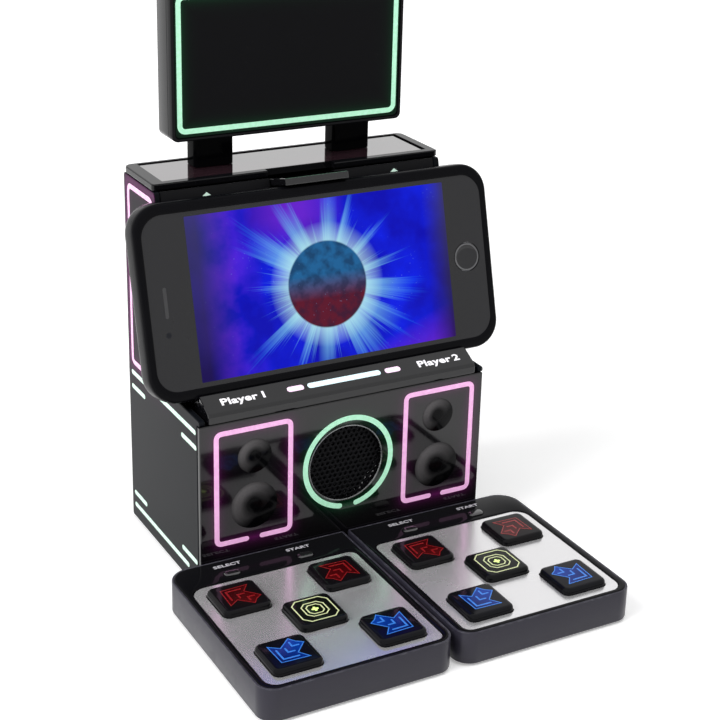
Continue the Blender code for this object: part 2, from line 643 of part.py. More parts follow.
def make_key(pad, word, centre, frame, bezel, membrane):
    """A small oval key that comes up through the frame's deck and the bezel."""
    name = "%s_%s_button" % (pad, word)
    cap = key_box(name, "button_black", centre, 0.0, KEY_Z)
    soften(cap, 0.45, 2)
    reach, thick = KEY_FLANGE
    flange = key_box(name + "_flange", None, centre, reach, (KEY_Z[0], KEY_Z[0] + thick))
    combine(cap, flange, "UNION")
    for target in (frame, bezel):
        hole = key_box("%s_%s_hole" % (target.name, word), None, centre, 0.2,
                       (KEY_Z[0], PAD_TOP_Z + 3))
        combine(target, hole)
    combine(membrane, dome(name + "_dome", centre, 1.6), "UNION")


def main():
    dock = add_empty("dock", DOCK, LEAN)
    make_side_panels()
    make_front_panel()
    make_ledge()
    make_cradle_face(dock)
    make_top()
    make_back_and_base()
    make_speaker()
    make_power()
    make_handset(dock)
    make_clamp(dock)
    make_sign()
    make_pad("left_pad", -1)
    make_pad("right_pad", 1)


main()
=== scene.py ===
"""Looks of a tabletop dance rhythm machine: cabinet, sign, docked handset and two finger pads.

Lengths inside the shape functions are millimetres measured from the cabinet's front face
(depth), its middle (across) and the tabletop (height); Plane turns them into metres in the
frame.
"""
import functools
import math

import bpy
import numpy as np
from bpy.props import FloatProperty, FloatVectorProperty, IntProperty, PointerProperty
from mathutils import Matrix, Vector


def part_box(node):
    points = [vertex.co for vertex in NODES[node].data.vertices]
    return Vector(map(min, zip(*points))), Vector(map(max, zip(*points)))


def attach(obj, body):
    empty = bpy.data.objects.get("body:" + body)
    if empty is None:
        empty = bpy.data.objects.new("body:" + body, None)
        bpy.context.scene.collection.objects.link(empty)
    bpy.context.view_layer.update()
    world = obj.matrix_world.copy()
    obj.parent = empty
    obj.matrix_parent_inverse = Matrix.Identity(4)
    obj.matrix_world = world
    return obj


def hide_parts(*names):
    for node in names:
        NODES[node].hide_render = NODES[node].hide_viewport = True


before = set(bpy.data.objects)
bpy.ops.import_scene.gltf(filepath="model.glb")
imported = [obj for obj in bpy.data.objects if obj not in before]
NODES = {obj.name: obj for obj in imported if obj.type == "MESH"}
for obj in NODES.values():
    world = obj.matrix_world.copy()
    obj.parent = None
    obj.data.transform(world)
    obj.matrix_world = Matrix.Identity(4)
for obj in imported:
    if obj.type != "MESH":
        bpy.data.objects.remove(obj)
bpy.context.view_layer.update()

bl_info = {
    "name": "Dance Rhythm Machine",
    "version": (1, 0, 0),
    "blender": (4, 5, 0),
    "location": "View3D > Sidebar > Dance Machine",
    "description": "Builds the finished surfaces of a tabletop dance rhythm machine",
    "category": "Object",
}

MM = 0.001
FRONT_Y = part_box("front_panel")[0].y / MM      # the cabinet's front face in the frame
LEAN = math.radians(15.0)                      # backward lean of the handset
PAD_SIDES = {"left_pad": -1, "right_pad": 1}   # each pad and its side of the middle
CREASE, CAP_CREASE = 35.0, 50.0                # degrees past which an edge stays crisp
SINK = 0.03                                    # reach of every print under its surface
FILL, INK, LINE_INK = 0.03, 0.05, 0.06         # heights of prints over their surface
GLASS_DEPTH = 0.95                             # case's front to the middle of the glass


def span(node):
    """Lowest and highest corner of a CAD node, in millimetres from the cabinet's front."""
    low, high = (np.array(corner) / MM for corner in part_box(node))
    shift = np.array((0.0, FRONT_Y, 0.0))
    return low - shift, high - shift


# ---- planes, outlines and meshes ----------------------------------------------------------
class Plane:
    """A working plane: a point (right, up, out) in millimetres lies at origin + right * R
    + up * U + out * N, where N is the cross product of R and U."""

    def __init__(self, origin, right, up):
        self.origin = np.array(origin, float)
        self.axes = np.array((right, up, np.cross(right, up)), float)

    def at(self, points):
        """Points of this plane as metres in the frame."""
        local = self.origin + np.asarray(points, float) @ self.axes
        return (local + (0.0, FRONT_Y, 0.0)) * MM

    def turned(self, u, v, angle):
        """The same plane moved to (u, v) and turned by angle about its outward direction."""
        c, s = math.cos(angle), math.sin(angle)
        right = self.axes[0] * c + self.axes[1] * s
        up = self.axes[1] * c - self.axes[0] * s
        return Plane(self.origin + self.axes[0] * u + self.axes[1] * v, right, up)


def dock_plane():
    """The leaning plane of the handset's front, centred on its case."""
    glass_low, glass_high = span("phone_glass")
    middle = (glass_low + glass_high) / 2
    back = np.array((0.0, math.cos(LEAN), -math.sin(LEAN)))
    return Plane(middle - back * GLASS_DEPTH, (1, 0, 0), (0, math.sin(LEAN), math.cos(LEAN)))


TOP = Plane((0, 0, 0), (1, 0, 0), (0, 1, 0))
FRONT = Plane((0, 0, 0), (1, 0, 0), (0, 0, 1))
LEFT = Plane((span("left_side_panel")[0][0], 0, 0), (0, -1, 0), (0, 0, 1))
RIGHT = Plane((span("right_side_panel")[1][0], 0, 0), (0, 1, 0), (0, 0, 1))
BACK = Plane((0, span("back_cover")[1][1], 0), (-1, 0, 0), (0, 0, 1))
DOCK = dock_plane()
SIGN = Plane((0, span("sign_panel")[0][1], 0), (1, 0, 0), (0, 0, 1))


def shade(obj, angle=CREASE):
    """Smooth shading, with edges sharper than the angle left crisp."""
    obj.data.shade_smooth()
    obj.data.set_sharp_from_angle(angle=math.radians(angle))


def new_piece(name, points, faces, material, body="cabinet", replaces=(),
              sharp=CREASE):
    """Put computed points and faces into a mesh and ride it on its body."""
    mesh = bpy.data.meshes.new(name)
    mesh.from_pydata(np.asarray(points, float).tolist(), [], faces)
    mesh.update()
    obj = bpy.data.objects.new(name, mesh)
    bpy.context.scene.collection.objects.link(obj)
    mesh.materials.append(material)
    shade(obj, sharp)
    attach(obj, body)
    if replaces:
        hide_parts(*replaces)
    return obj


def rounded_outline(low, high, radii, inset=0.0, steps=10):
    """Anticlockwise outline of a rectangle with its corners (low low, high low, high high,
    low high) rounded: each corner is centre + radius * (cos a, sin a) over a quarter turn."""
    x0, y0, x1, y1 = low[0] + inset, low[1] + inset, high[0] - inset, high[1] - inset
    r = np.maximum(np.array(radii, float) - inset, 0.02)
    centres = np.array([(x0 + r[0], y0 + r[0]), (x1 - r[1], y0 + r[1]),
                        (x1 - r[2], y1 - r[2]), (x0 + r[3], y1 - r[3])])
    starts = np.array((math.pi, 1.5 * math.pi, 0.0, 0.5 * math.pi))
    turn = starts[:, None] + np.linspace(0, math.pi / 2, steps + 1)[None, :]
    arc = np.stack((np.cos(turn), np.sin(turn)), -1) * r[:, None, None]
    return (centres[:, None, :] + arc).reshape(-1, 2)


def grid_faces(rows, columns):
    """Quads between neighbouring rows of a grid that is closed round its columns."""
    i, j = np.meshgrid(np.arange(rows - 1), np.arange(columns), indexing="ij")
    a = i * columns + j
    b = i * columns + (j + 1) % columns
    return np.stack((a, b, b + columns, a + columns), -1).reshape(-1, 4).tolist()


def end_faces(rows, columns):
    """The flat faces that close the first and the last row of a grid."""
    return [list(range(columns))[::-1], list(range((rows - 1) * columns, rows * columns))]


def lifted(outline, height):
    """Flat points (right, up) as points (right, up, height)."""
    return np.column_stack((outline, np.full(len(outline), height)))


def lofted(plane, low, high, radii, profile, steps=10):
    """Rings of a rounded rectangle carried up a profile of (inset, height): each ring is the
    outline pulled in by its inset at its height. The first and last ring are closed flat."""
    rings = [lifted(rounded_outline(low, high, radii, inset, steps), height)
             for inset, height in profile]
    rows, columns = len(rings), len(rings[0])
    faces = grid_faces(rows, columns) + end_faces(rows, columns)
    return plane.at(np.concatenate(rings)), faces


def framed(plane, outer, inner, profile, steps=10, capped=False):
    """A ring-shaped moulding. Its profile goes round the section: each (side, inset, height)
    takes the outer outline pulled in, or the inner one pushed back, and closes on itself.
    A capped one closes its first and last ring flat instead, as a tray does."""
    rings = []
    for side, inset, height in profile:
        low, high, radii = outer if side == "outer" else inner
        grow = inset if side == "outer" else -inset
        rings.append(lifted(rounded_outline(low, high, radii, grow, steps), height))
    rows, columns = len(rings), len(rings[0])
    points = np.concatenate(rings)
    if capped:
        faces = grid_faces(rows, columns) + end_faces(rows, columns)
    else:
        faces = (np.array(grid_faces(rows + 1, columns)) % len(points)).tolist()
    return plane.at(points), faces


def turned_shape(plane, centre, profile, steps, ends=True):
    """A profile of (radius, height) carried round the plane's outward axis: each point is
    centre + radius * (cos a, sin a). With ends, its first and last ring are closed flat."""
    turn = np.linspace(0, 2 * math.pi, steps, endpoint=False)
    profile = np.array(profile, float)
    radius = profile[:, 0, None]
    points = np.stack((centre[0] + radius * np.cos(turn), centre[1] + radius * np.sin(turn),
                       np.broadcast_to(profile[:, 1, None], (len(profile), steps))), -1)
    faces = grid_faces(len(profile), steps)
    if ends:
        faces += end_faces(len(profile), steps)
    return plane.at(points.reshape(-1, 3)), faces


def band(path, width, closed):
    """Left and right edge of a line of this width along a path: each point moves out along
    the mean of its two neighbouring edges' normals, lengthened so that corners stay mitred."""
    path = np.asarray(path, float)
    ahead = np.roll(path, -1, 0) - path
    behind = path - np.roll(path, 1, 0)
    if not closed:
        ahead[-1], behind[0] = behind[-1], ahead[0]
    ahead /= np.linalg.norm(ahead, axis=1, keepdims=True)
    behind /= np.linalg.norm(behind, axis=1, keepdims=True)
    normal = np.stack((-(ahead + behind)[:, 1], (ahead + behind)[:, 0]), -1)
    normal /= np.linalg.norm(normal, axis=1, keepdims=True)
    side = np.stack((-ahead[:, 1], ahead[:, 0]), -1)
    reach = width / 2 / np.maximum((normal * side).sum(1), 0.35)
    return path + normal * reach[:, None], path - normal * reach[:, None]


def half_circle(centre, direction, radius):
    """The half circle round a line's end: centre + radius * (side * sin a + ahead * cos a),
    for a from a quarter turn on the left to one on the right."""
    ahead = direction / np.linalg.norm(direction)
    side = np.array((-ahead[1], ahead[0]))
    turn = np.linspace(math.pi / 2, -math.pi / 2, 9)[1:-1, None]
    return centre + (side * np.sin(turn) + ahead * np.cos(turn)) * radius


def raised_line(path, width, height, closed=False):
    """A printed line: a flat band of the path with upright edges, closed all round. An open
    line ends in half circles, whose middles lie half a width in from the path's ends."""
    path = np.asarray(path, float)
    if closed:
        left, right = band(path, width, True)
        points = np.concatenate((lifted(left, -SINK), lifted(left, height),
                                 lifted(right, height), lifted(right, -SINK)))
        faces = np.array(grid_faces(5, len(path))) % len(points)
        return points, [face[::-1] for face in faces.tolist()]
    first, last = path[1] - path[0], path[-1] - path[-2]
    head = path[0] + first / np.linalg.norm(first) * width / 2
    tail = path[-1] - last / np.linalg.norm(last) * width / 2
    left, right = band(np.concatenate(([head], path[1:-1], [tail])), width, False)
    outline = np.concatenate((left, half_circle(tail, last, width / 2), right[::-1],
                              half_circle(head, -first, width / 2)))
    return slab_of(outline[::-1], height)


def slab_of(outline, height, sink=SINK):
    """A flat solid of an anticlockwise outline, from just under its surface to a height."""
    count = len(outline)
    points = np.concatenate((lifted(outline, -sink), lifted(outline, height)))
    return points, grid_faces(2, count) + end_faces(2, count)


def gather(shapes):
    """Join several (points, faces) shapes into one."""
    points, faces, start = [], [], 0
    for shape_points, shape_faces in shapes:
        points.append(np.asarray(shape_points, float))
        faces.extend([[i + start for i in face] for face in shape_faces])
        start += len(shape_points)
    return np.concatenate(points), faces


CAPITAL, LETTER_DEPTH = 0.72, 0.04     # a capital's share of the letter size, half its depth


def lettering(words, height, weight=0.0, spacing=1.0, widen=1.0, word_gap=1.0):
    """Words from the built-in font as flat solids, centred on zero, in millimetres."""
    curve = bpy.data.curves.new("lettering", "FONT")
    curve.body = words
    curve.size = height / CAPITAL
    curve.extrude = LETTER_DEPTH
    curve.offset = weight
    curve.space_character = spacing
    curve.space_word = word_gap
    curve.align_x = "CENTER"
    curve.align_y = "CENTER"
    curve.resolution_u = 6
    drawing = bpy.data.objects.new("lettering", curve)
    bpy.context.scene.collection.objects.link(drawing)
    mesh = bpy.data.meshes.new_from_object(
        drawing.evaluated_get(bpy.context.evaluated_depsgraph_get()))
    bpy.data.objects.remove(drawing)
    points = np.zeros(len(mesh.vertices) * 3)
    mesh.vertices.foreach_get("co", points)
    faces = [list(p.vertices) for p in mesh.polygons]
    bpy.data.meshes.remove(mesh)
    return points.reshape(-1, 3) * (widen, 1.0, 1.0), faces


def moved(shape, u=0.0, v=0.0, out=0.0):
    """A shape carried this far right, up and out."""
    points, faces = shape
    return np.asarray(points) + (u, v, out), faces


def lay(name, plane, shapes, material, body="cabinet"):
    """Join shapes that are drawn on a plane, and put them there as one piece."""
    points, faces = gather(shapes)
    return new_piece(name, plane.at(points), faces, material, body)


# ---- materials ----------------------------------------------------------------------------
def linear(colour):
    """An sRGB colour of 0 to 255 as linear light: above 0.04, ((c + 0.055) / 1.055) ^ 2.4."""
    c = np.array(colour, float) / 255
    low, high = c / 12.92, ((c + 0.055) / 1.055) ** 2.4
    return tuple(np.where(c <= 0.04045, low, high))


BUMP_DEPTH = 0.0001        # metres


class Graph:
    """A material or group node tree, with short calls that add a node and link its inputs."""

    def __init__(self, tree):
        self.tree = tree

    def feed(self, node, inputs):
        """Link each input that is given a socket, and set each one that is given a value."""
        for key, value in inputs.items():
            socket = node.inputs[key]
            if isinstance(value, bpy.types.NodeSocket):
                self.tree.links.new(value, socket)
            elif isinstance(value, (tuple, list, np.ndarray)) and len(value) == 3 \
                    and socket.type == "RGBA":
                socket.default_value = (*value, 1.0)
            else:
                socket.default_value = value

    def add(self, kind, settings=None, **inputs):
        """A new node with its settings and inputs, whose names have _ in place of a space."""
        node = self.tree.nodes.new("ShaderNode" + kind)
        for key, value in (settings or {}).items():
            setattr(node, key, value)
        self.feed(node, {k.replace("_", " "): v for k, v in inputs.items()})
        return node

    def math(self, operation, *values):
        """The result of a sum."""
        node = self.add("Math", {"operation": operation})
        self.feed(node, dict(enumerate(values)))
        return node.outputs[0]

    def vector(self, operation, *values):
        """The vector, or the number, that a vector sum gives."""
        node = self.add("VectorMath", {"operation": operation})
        self.feed(node, dict(enumerate(values)))
        return node.outputs["Value" if operation in ("DOT_PRODUCT", "LENGTH") else "Vector"]

    def mix(self, fraction, first, second):
        """The colour that lies this fraction of the way from first to second."""
        node = self.add("Mix", {"data_type": "RGBA", "clamp_factor": True})
        self.feed(node, {0: fraction, 6: first, 7: second})
        return node.outputs[2]

    def spread(self, value, low, high, to_low=0.0, to_high=1.0):
        """A value stretched so that low..high becomes to_low..to_high, and cut off there."""
        node = self.add("MapRange", Value=value)
        self.feed(node, {1: low, 2: high, 3: to_low, 4: to_high})
        return node.outputs[0]

    def group(self, name, **inputs):
        """A shared node group, which is built when it is first used."""
        node = self.add("Group")
        node.node_tree = bpy.data.node_groups.get(name) or GROUPS[name](name)
        self.feed(node, {k.replace("_", " "): v for k, v in inputs.items()})
        return node.outputs

    def place(self):
        """Object coordinates, which are metres in the frame."""
        return self.add("TexCoord").outputs["Object"]

    def face(self):
        """A piece's own UV map, whose middle is zero and whose edge is one."""
        return self.add("UVMap", {"uv_map": "face"}).outputs[0]

    def split(self, vector):
        """The first two numbers of a vector."""
        parts = self.add("SeparateXYZ", Vector=vector).outputs
        return parts["X"], parts["Y"]

    def noise(self, place, scale, **inputs):
        """Noise from 0 to 1, with about scale blobs to a metre of its place."""
        return self.add("TexNoise", Vector=place, Scale=scale, **inputs).outputs["Fac"]

    def bump(self, height, strength):
        """A normal that leans as a height from 0 to 1 does, taken BUMP_DEPTH deep."""
        return self.add("Bump", Height=height, Strength=strength,
                        Distance=BUMP_DEPTH).outputs[0]


def new_group(name, inputs, outputs):
    """A node group with named float, vector or colour sockets: its Graph and its two ends."""
    tree = bpy.data.node_groups.new(name, "ShaderNodeTree")
    kinds = {"f": "NodeSocketFloat", "v": "NodeSocketVector", "c": "NodeSocketColor"}
    for socket, kind, default in inputs:
        item = tree.interface.new_socket(socket, in_out="INPUT", socket_type=kinds[kind])
        if default is not None:
            item.default_value = default
    for socket, kind in outputs:
        tree.interface.new_socket(socket, in_out="OUTPUT", socket_type=kinds[kind])
    start = tree.nodes.new("NodeGroupInput")
    end = tree.nodes.new("NodeGroupOutput")
    return Graph(tree), start.outputs, end


def plastic_group(name):
    """Moulded plastic: mottling in colour and gloss, fine hairline scratches and dust."""
    g, given, end = new_group(name, [
        ("Vector", "v", None), ("Colour", "c", (0.02, 0.02, 0.02, 1)), ("Mottle", "f", 0.15),
        ("Roughness", "f", 0.1), ("Smear", "f", 0.05), ("Scratches", "f", 0.3),
        ("Dust", "f", 0.01), ("Grain", "f", 0.0)],
        [("Colour", "c"), ("Roughness", "f"), ("Height", "f")])
    place = given["Vector"]
    cloudy = g.noise(place, 38.0, Detail=4.0, Roughness=0.6)
    smear = g.noise(place, 85.0, Detail=5.0, Roughness=0.7, Distortion=1.2)
    fine = g.noise(place, 2600.0, Detail=2.0)
    # Scratches are the crests of a noise that is stretched into threads.
    threads = g.add("Mapping", Vector=place, Scale=(60.0, 900.0, 420.0),
                    Rotation=(0.4, 0.7, 0.35)).outputs[0]
    crest = g.spread(g.noise(threads, 1.0, Detail=2.0), 0.70, 0.74)
    scratch = g.math("MULTIPLY", crest, given["Scratches"])
    # Dust lies in dots, and only where the cloudy noise is high.
    dot = g.spread(g.add("TexVoronoi", Vector=place, Scale=240.0).outputs["Distance"],
                   0.10, 0.04)
    dots = g.math("MULTIPLY", dot, g.spread(cloudy, 0.52, 0.62))
    dust = g.math("MULTIPLY", dots, given["Dust"])
    tone = g.math("MULTIPLY_ADD", g.math("SUBTRACT", cloudy, 0.5), given["Mottle"], 1.0)
    tinted = g.add("VectorMath", {"operation": "SCALE"})
    g.feed(tinted, {0: given["Colour"], "Scale": tone})
    uneven = g.math("MULTIPLY", g.spread(smear, 0.45, 0.75), given["Smear"])
    rough = g.math("ADD", g.math("ADD", given["Roughness"], uneven),
                   g.math("MULTIPLY", scratch, 0.12))
    height = g.math("SUBTRACT", g.math("MULTIPLY", fine, given["Grain"]),
                    g.math("MULTIPLY", scratch, 0.4))
    g.feed(end, {"Colour": g.mix(dust, tinted.outputs[0], (0.55, 0.54, 0.52)),
                 "Roughness": g.math("ADD", rough, dust), "Height": height})
    return g.tree


def halo_group(name):
    """Light spilling from a rounded rectangle's line: e to the power of minus the distance
    from the line over the reach, with the plane's own coordinates in metres."""
    g, given, end = new_group(name, [
        ("Right", "f", 0.0), ("Up", "f", 0.0), ("Middle Right", "f", 0.0),
        ("Middle Up", "f", 0.0), ("Half Width", "f", 0.02), ("Half Height", "f", 0.02),
        ("Corner", "f", 0.004), ("Reach", "f", 0.003)], [("Mask", "f")])
    right = g.math("ABSOLUTE", g.math("SUBTRACT", given["Right"], given["Middle Right"]))
    up = g.math("ABSOLUTE", g.math("SUBTRACT", given["Up"], given["Middle Up"]))
    far_right = g.math("ADD", g.math("SUBTRACT", right, given["Half Width"]), given["Corner"])
    far_up = g.math("ADD", g.math("SUBTRACT", up, given["Half Height"]), given["Corner"])
    out_right = g.math("MAXIMUM", far_right, 0.0)
    out_up = g.math("MAXIMUM", far_up, 0.0)
    outside = g.math("SQRT", g.math("ADD", g.math("MULTIPLY", out_right, out_right),
                                    g.math("MULTIPLY", out_up, out_up)))
    inside = g.math("MINIMUM", g.math("MAXIMUM", far_right, far_up), 0.0)
    distance = g.math("ABSOLUTE", g.math("SUBTRACT", g.math("ADD", outside, inside),
                                         given["Corner"]))
    fall = g.math("DIVIDE", distance, given["Reach"])
    g.feed(end, {"Mask": g.math("POWER", math.e, g.math("MULTIPLY", fall, -1.0))})
    return g.tree


def edge_highlight_group(name):
    """Painted edge highlight: how far the rounded normal leans from the flat one, broken by
    noise.
    """
    g, given, end = new_group(name, [("Vector", "v", None), ("Width", "f", 0.0006)],
                              [("Mask", "f")])
    soft = g.add("Bevel", {"samples": 4}, Radius=given["Width"]).outputs[0]
    flat = g.add("NewGeometry").outputs["Normal"]
    lean = g.math("SUBTRACT", 1.0, g.vector("DOT_PRODUCT", soft, flat))
    broken = g.spread(g.noise(given["Vector"], 420.0, Detail=4.0), 0.42, 0.62)
    g.feed(end, {"Mask": g.math("MULTIPLY", g.spread(lean, 0.02, 0.20), broken)})
    return g.tree


GROUPS = {"moulded plastic": plastic_group, "line glow": halo_group,
          "rubbed edges": edge_highlight_group}


def made_once(make):
    """Turns a function that makes a material into one that makes it at the first call with
    a name, and gives back the material of that name at every call."""
    @functools.wraps(make)
    def find_or_make(name, *values, **settings):
        if name not in bpy.data.materials:
            make(name, *values, **settings)
        return bpy.data.materials[name]
    return find_or_make


def new_material(name):
    """A material that holds one plain shader: its Graph and that shader."""
    material = bpy.data.materials.new(name)
    material.use_nodes = True
    tree = material.node_tree
    tree.nodes.clear()
    g = Graph(tree)
    out = g.add("OutputMaterial")
    shader = g.add("BsdfPrincipled")
    tree.links.new(shader.outputs[0], out.inputs[0])
    return g, shader


@made_once
def plastic(name, colour, roughness, mottle=0.2, smear=0.05, scratches=0.3, dust=0.01,
            grain=0.0, gloss=0.5, coat=0.0, edge_highlight=None, ior=1.5, coat_ior=1.5):
    """A moulded plastic or rubber finish: the shared group feeds one plain shader.
    edge_highlight is how far a painted highlight on rounded edges goes towards a colour, and
    that colour."""
    g, shader = new_material(name)
    place = g.place()
    skin = g.group("moulded plastic", Vector=place, Colour=(*colour, 1.0), Mottle=mottle,
                   Roughness=roughness, Smear=smear, Scratches=scratches, Dust=dust,
                   Grain=grain)
    base = skin["Colour"]
    if edge_highlight:
        # Painted highlight: rounded edges are lightened towards the given colour.
        highlight_mask = g.group("rubbed edges", Vector=place, Width=0.0005)["Mask"]
        base = g.mix(g.math("MULTIPLY", highlight_mask, edge_highlight[0]), base, edge_highlight[1])
    g.feed(shader, {"Base Color": base, "Roughness": skin["Roughness"],
                    "Specular IOR Level": gloss, "IOR": ior, "Coat Weight": coat,
                    "Coat Roughness": 0.03, "Coat IOR": coat_ior,
                    "Normal": g.bump(skin["Height"], 0.15)})


@made_once
def neon(name, colour, glow):
    """Translucent ink with a slightly uneven film, that glows a little by itself."""
    colour = tuple(colour)
    g, shader = new_material(name)
    film = g.spread(g.noise(g.place(), 700.0, Detail=3.0), 0.3, 0.7)
    ink = g.mix(film, tuple(c * 0.86 for c in colour), colour)
    g.feed(shader, {"Base Color": ink, "Roughness": g.spread(film, 0, 1, 0.22, 0.32),
                    "Emission Color": ink, "Emission Strength": glow,
                    "Specular IOR Level": 0.4})


def plane_reading(g, plane):
    """How far right and up on a plane a place is: its distance from the plane's origin,
    times each of the plane's first two directions."""
    offset = g.vector("SUBTRACT", g.place(), tuple(plane.at((0, 0, 0))))
    return [g.vector("DOT_PRODUCT", offset, tuple(axis)) for axis in plane.axes[:2]]


@made_once
def glowing_panel(name, plane, boxes, colour, roughness, gloss=0.05):
    """Black gloss that carries the spill of its printed lines, on the plane's own side only.

    boxes holds (middle right, middle up, half width, half height, corner, reach, colour)."""
    g, shader = new_material(name)
    skin = g.group("moulded plastic", Vector=g.place(), Colour=(*colour, 1.0), Mottle=0.35,
                   Roughness=roughness, Smear=0.03, Scratches=0.25, Dust=0.008, Grain=0.0)
    right, up = plane_reading(g, plane)
    normal = g.add("NewGeometry").outputs["Normal"]
    facing = g.spread(g.vector("DOT_PRODUCT", normal, tuple(plane.axes[2])), 0.7, 0.95)
    base = skin["Colour"]
    glow = (0.0, 0.0, 0.0)
    for mid_right, mid_up, half_w, half_h, corner, reach, tint in boxes:
        halo = g.group("line glow", Right=right, Up=up, Middle_Right=mid_right * MM,
                       Middle_Up=mid_up * MM, Half_Width=half_w * MM, Half_Height=half_h * MM,
                       Corner=corner * MM, Reach=reach * MM)
        mask = g.math("MULTIPLY", halo["Mask"], facing)
        base = g.mix(g.math("MULTIPLY", mask, 0.35), base, tint)
        glow = g.mix(g.math("MULTIPLY", mask, 0.9), glow, tint)
    g.feed(shader, {"Base Color": base, "Roughness": skin["Roughness"],
                    "Specular IOR Level": gloss, "Emission Color": glow,
                    "Emission Strength": 0.22,
                    "Normal": g.bump(skin["Height"], 0.1)})


@made_once
def brushed_plate(name):
    """Satin silver foil: long fine streaks across it, with a faintly clouded lacquer."""
    g, shader = new_material(name)
    place = g.place()
    streaks = g.add("Mapping", Vector=place, Scale=(120.0, 1500.0, 120.0)).outputs[0]
    hair = g.noise(streaks, 1.0, Detail=3.0)
    cloud = g.noise(place, 60.0, Detail=4.0)
    tone = g.math("ADD", g.spread(hair, 0.3, 0.7, -0.03, 0.03),
                  g.spread(cloud, 0.35, 0.65, -0.03, 0.03))
    silver = tuple(finishes().plate_silver)
    colour = g.mix(g.math("ADD", 0.5, tone), tuple(c * 0.8 for c in silver), silver)
    g.feed(shader, {"Base Color": colour, "Metallic": 0.75,
                    "Roughness": g.spread(cloud, 0.35, 0.65, 0.21, 0.28),
                    "Specular IOR Level": 0.5, "Normal": g.bump(hair, 0.002)})


@made_once
def metal(name, colour, roughness):
    """A plain metal whose colour and gloss are faintly clouded, with a fine grain."""
    g, shader = new_material(name)
    place = g.place()
    cloud = g.noise(place, 260.0, Detail=4.0)
    clouded = g.mix(g.spread(cloud, 0.35, 0.65), tuple(c * 0.88 for c in colour), colour)
    g.feed(shader, {"Base Color": clouded, "Metallic": 1.0,
                    "Roughness": g.spread(cloud, 0.3, 0.7, roughness * 0.8, roughness * 1.3),
                    "Normal": g.bump(g.noise(place, 1800.0, Detail=2.0), 0.06)})


@made_once
def cap_material(name, tint):
    """A glossy black cap with a painted glow in its middle, as if lit from inside: the tint
    falls off as e to the power of minus 2.6 times the squared distance from the middle."""
    g, shader = new_material(name)
    skin = g.group("moulded plastic", Vector=g.place(), Colour=(0.004, 0.004, 0.005, 1.0),
                   Mottle=0.3, Roughness=0.07, Smear=0.05, Scratches=0.35, Dust=0.01,
                   Grain=0.0)
    # Painted glow: the tint goes into both colour and emission, strongest in the middle.
    away = g.vector("LENGTH", g.face())
    near = g.math("POWER", math.e, g.math("MULTIPLY", g.math("MULTIPLY", away, away), -2.6))
    g.feed(shader, {"Base Color": g.mix(g.math("MULTIPLY", near, 0.5), skin["Colour"], tint),
                    "Roughness": skin["Roughness"],
                    "Emission Color": g.mix(near, (0.0, 0.0, 0.0), tint),
                    "Emission Strength": 0.08, "Specular IOR Level": 0.12,
                    "Normal": g.bump(skin["Height"], 0.08)})


@made_once
def fill_material(name, deep, bright):
    """Ink between the lines of an arrow, brighter towards its tail, with a faint painted glow.
    """
    g, shader = new_material(name)
    across, up = g.split(g.face())
    grain = g.spread(g.noise(g.place(), 900.0), 0.3, 0.7, -0.06, 0.06)
    ink = g.mix(g.spread(g.math("ADD", up, grain), 0.75, -0.6), deep, bright)
    # The emission is a faint painted glow.
    g.feed(shader, {"Base Color": ink, "Roughness": 0.1, "Emission Color": ink,
                    "Emission Strength": 0.12, "Specular IOR Level": 0.15})


@made_once
def cone_material(name):
    """Printed loudspeaker: a ball-like grey shade lit from upper left, dark in its middle."""
    g, shader = new_material(name)
    uv = g.face()
    across, up = g.split(uv)
    away = g.vector("LENGTH", uv)
    ring = g.spread(away, 0.30, 0.62)
    rim = g.spread(g.spread(away, 1.0, 0.86), 0, 1, 0.45, 1.0)
    lit = g.spread(g.math("ADD", g.math("MULTIPLY", across, -0.62),
                          g.math("MULTIPLY", up, 0.62)), -0.40, 0.80)
    grain = g.spread(g.noise(g.place(), 1500.0), 0.3, 0.7, 0.88, 1.06)
    shine = g.math("MULTIPLY", g.math("MULTIPLY", g.math("MULTIPLY", ring, lit), rim), grain)
    ink = g.mix(shine, (0.0015, 0.0015, 0.002), (0.135, 0.128, 0.132))
    g.feed(shader, {"Base Color": ink, "Roughness": 0.12, "Specular IOR Level": 0.08})


def display_rays(g, uv, across, up, away):
    """Rays round the display's middle, each as long as two noises of its direction say,
    and a narrow upright beam: how bright they are at a place."""
    around = g.vector("NORMALIZE", uv)
    fine = g.spread(g.noise(around, 17.0, Detail=4.0, Roughness=0.8), 0.46, 0.70, 0.0, 0.38)
    broad = g.spread(g.noise(around, 3.1, Detail=1.0), 0.42, 0.62, -0.06, 0.42)
    length = g.math("ADD", 0.30, g.math("ADD", fine, broad))
    rays = g.spread(away, length, g.math("MULTIPLY", length, 0.30))
    aside = g.math("ABSOLUTE", g.math("SUBTRACT", across, g.math("MULTIPLY", up, 0.12)))
    column = g.math("MULTIPLY", g.spread(aside, 0.075, 0.0),
                    g.spread(g.math("ABSOLUTE", up), 0.80, 0.30))
    return g.math("MAXIMUM", rays, g.math("MULTIPLY", column, 0.8))


def display_sky(g, across, up, cloud):
    """Deep blue behind the rays, with violet above, below and at the left."""
    blue = g.mix(g.spread(cloud, 0.38, 0.68), linear((4, 5, 176)), linear((6, 30, 232)))
    above = g.math("MULTIPLY", g.spread(g.math("ABSOLUTE", g.math("ADD", across, 0.22)),
                                        0.42, 0.08), g.spread(up, 0.24, 0.52))
    below = g.spread(g.math("SUBTRACT", g.math("MULTIPLY", across, 0.35), up), 0.62, 0.92)
    left = g.math("MULTIPLY", g.spread(g.math("ABSOLUTE", g.math("ADD", across, 0.80)),
                                       0.30, 0.05), g.spread(cloud, 0.42, 0.60))
    violet = g.math("MAXIMUM", g.math("MAXIMUM", above, below), g.math("MULTIPLY", left, 0.7))
    return g.mix(g.math("MULTIPLY", violet, 0.7), blue, linear((118, 36, 206)))


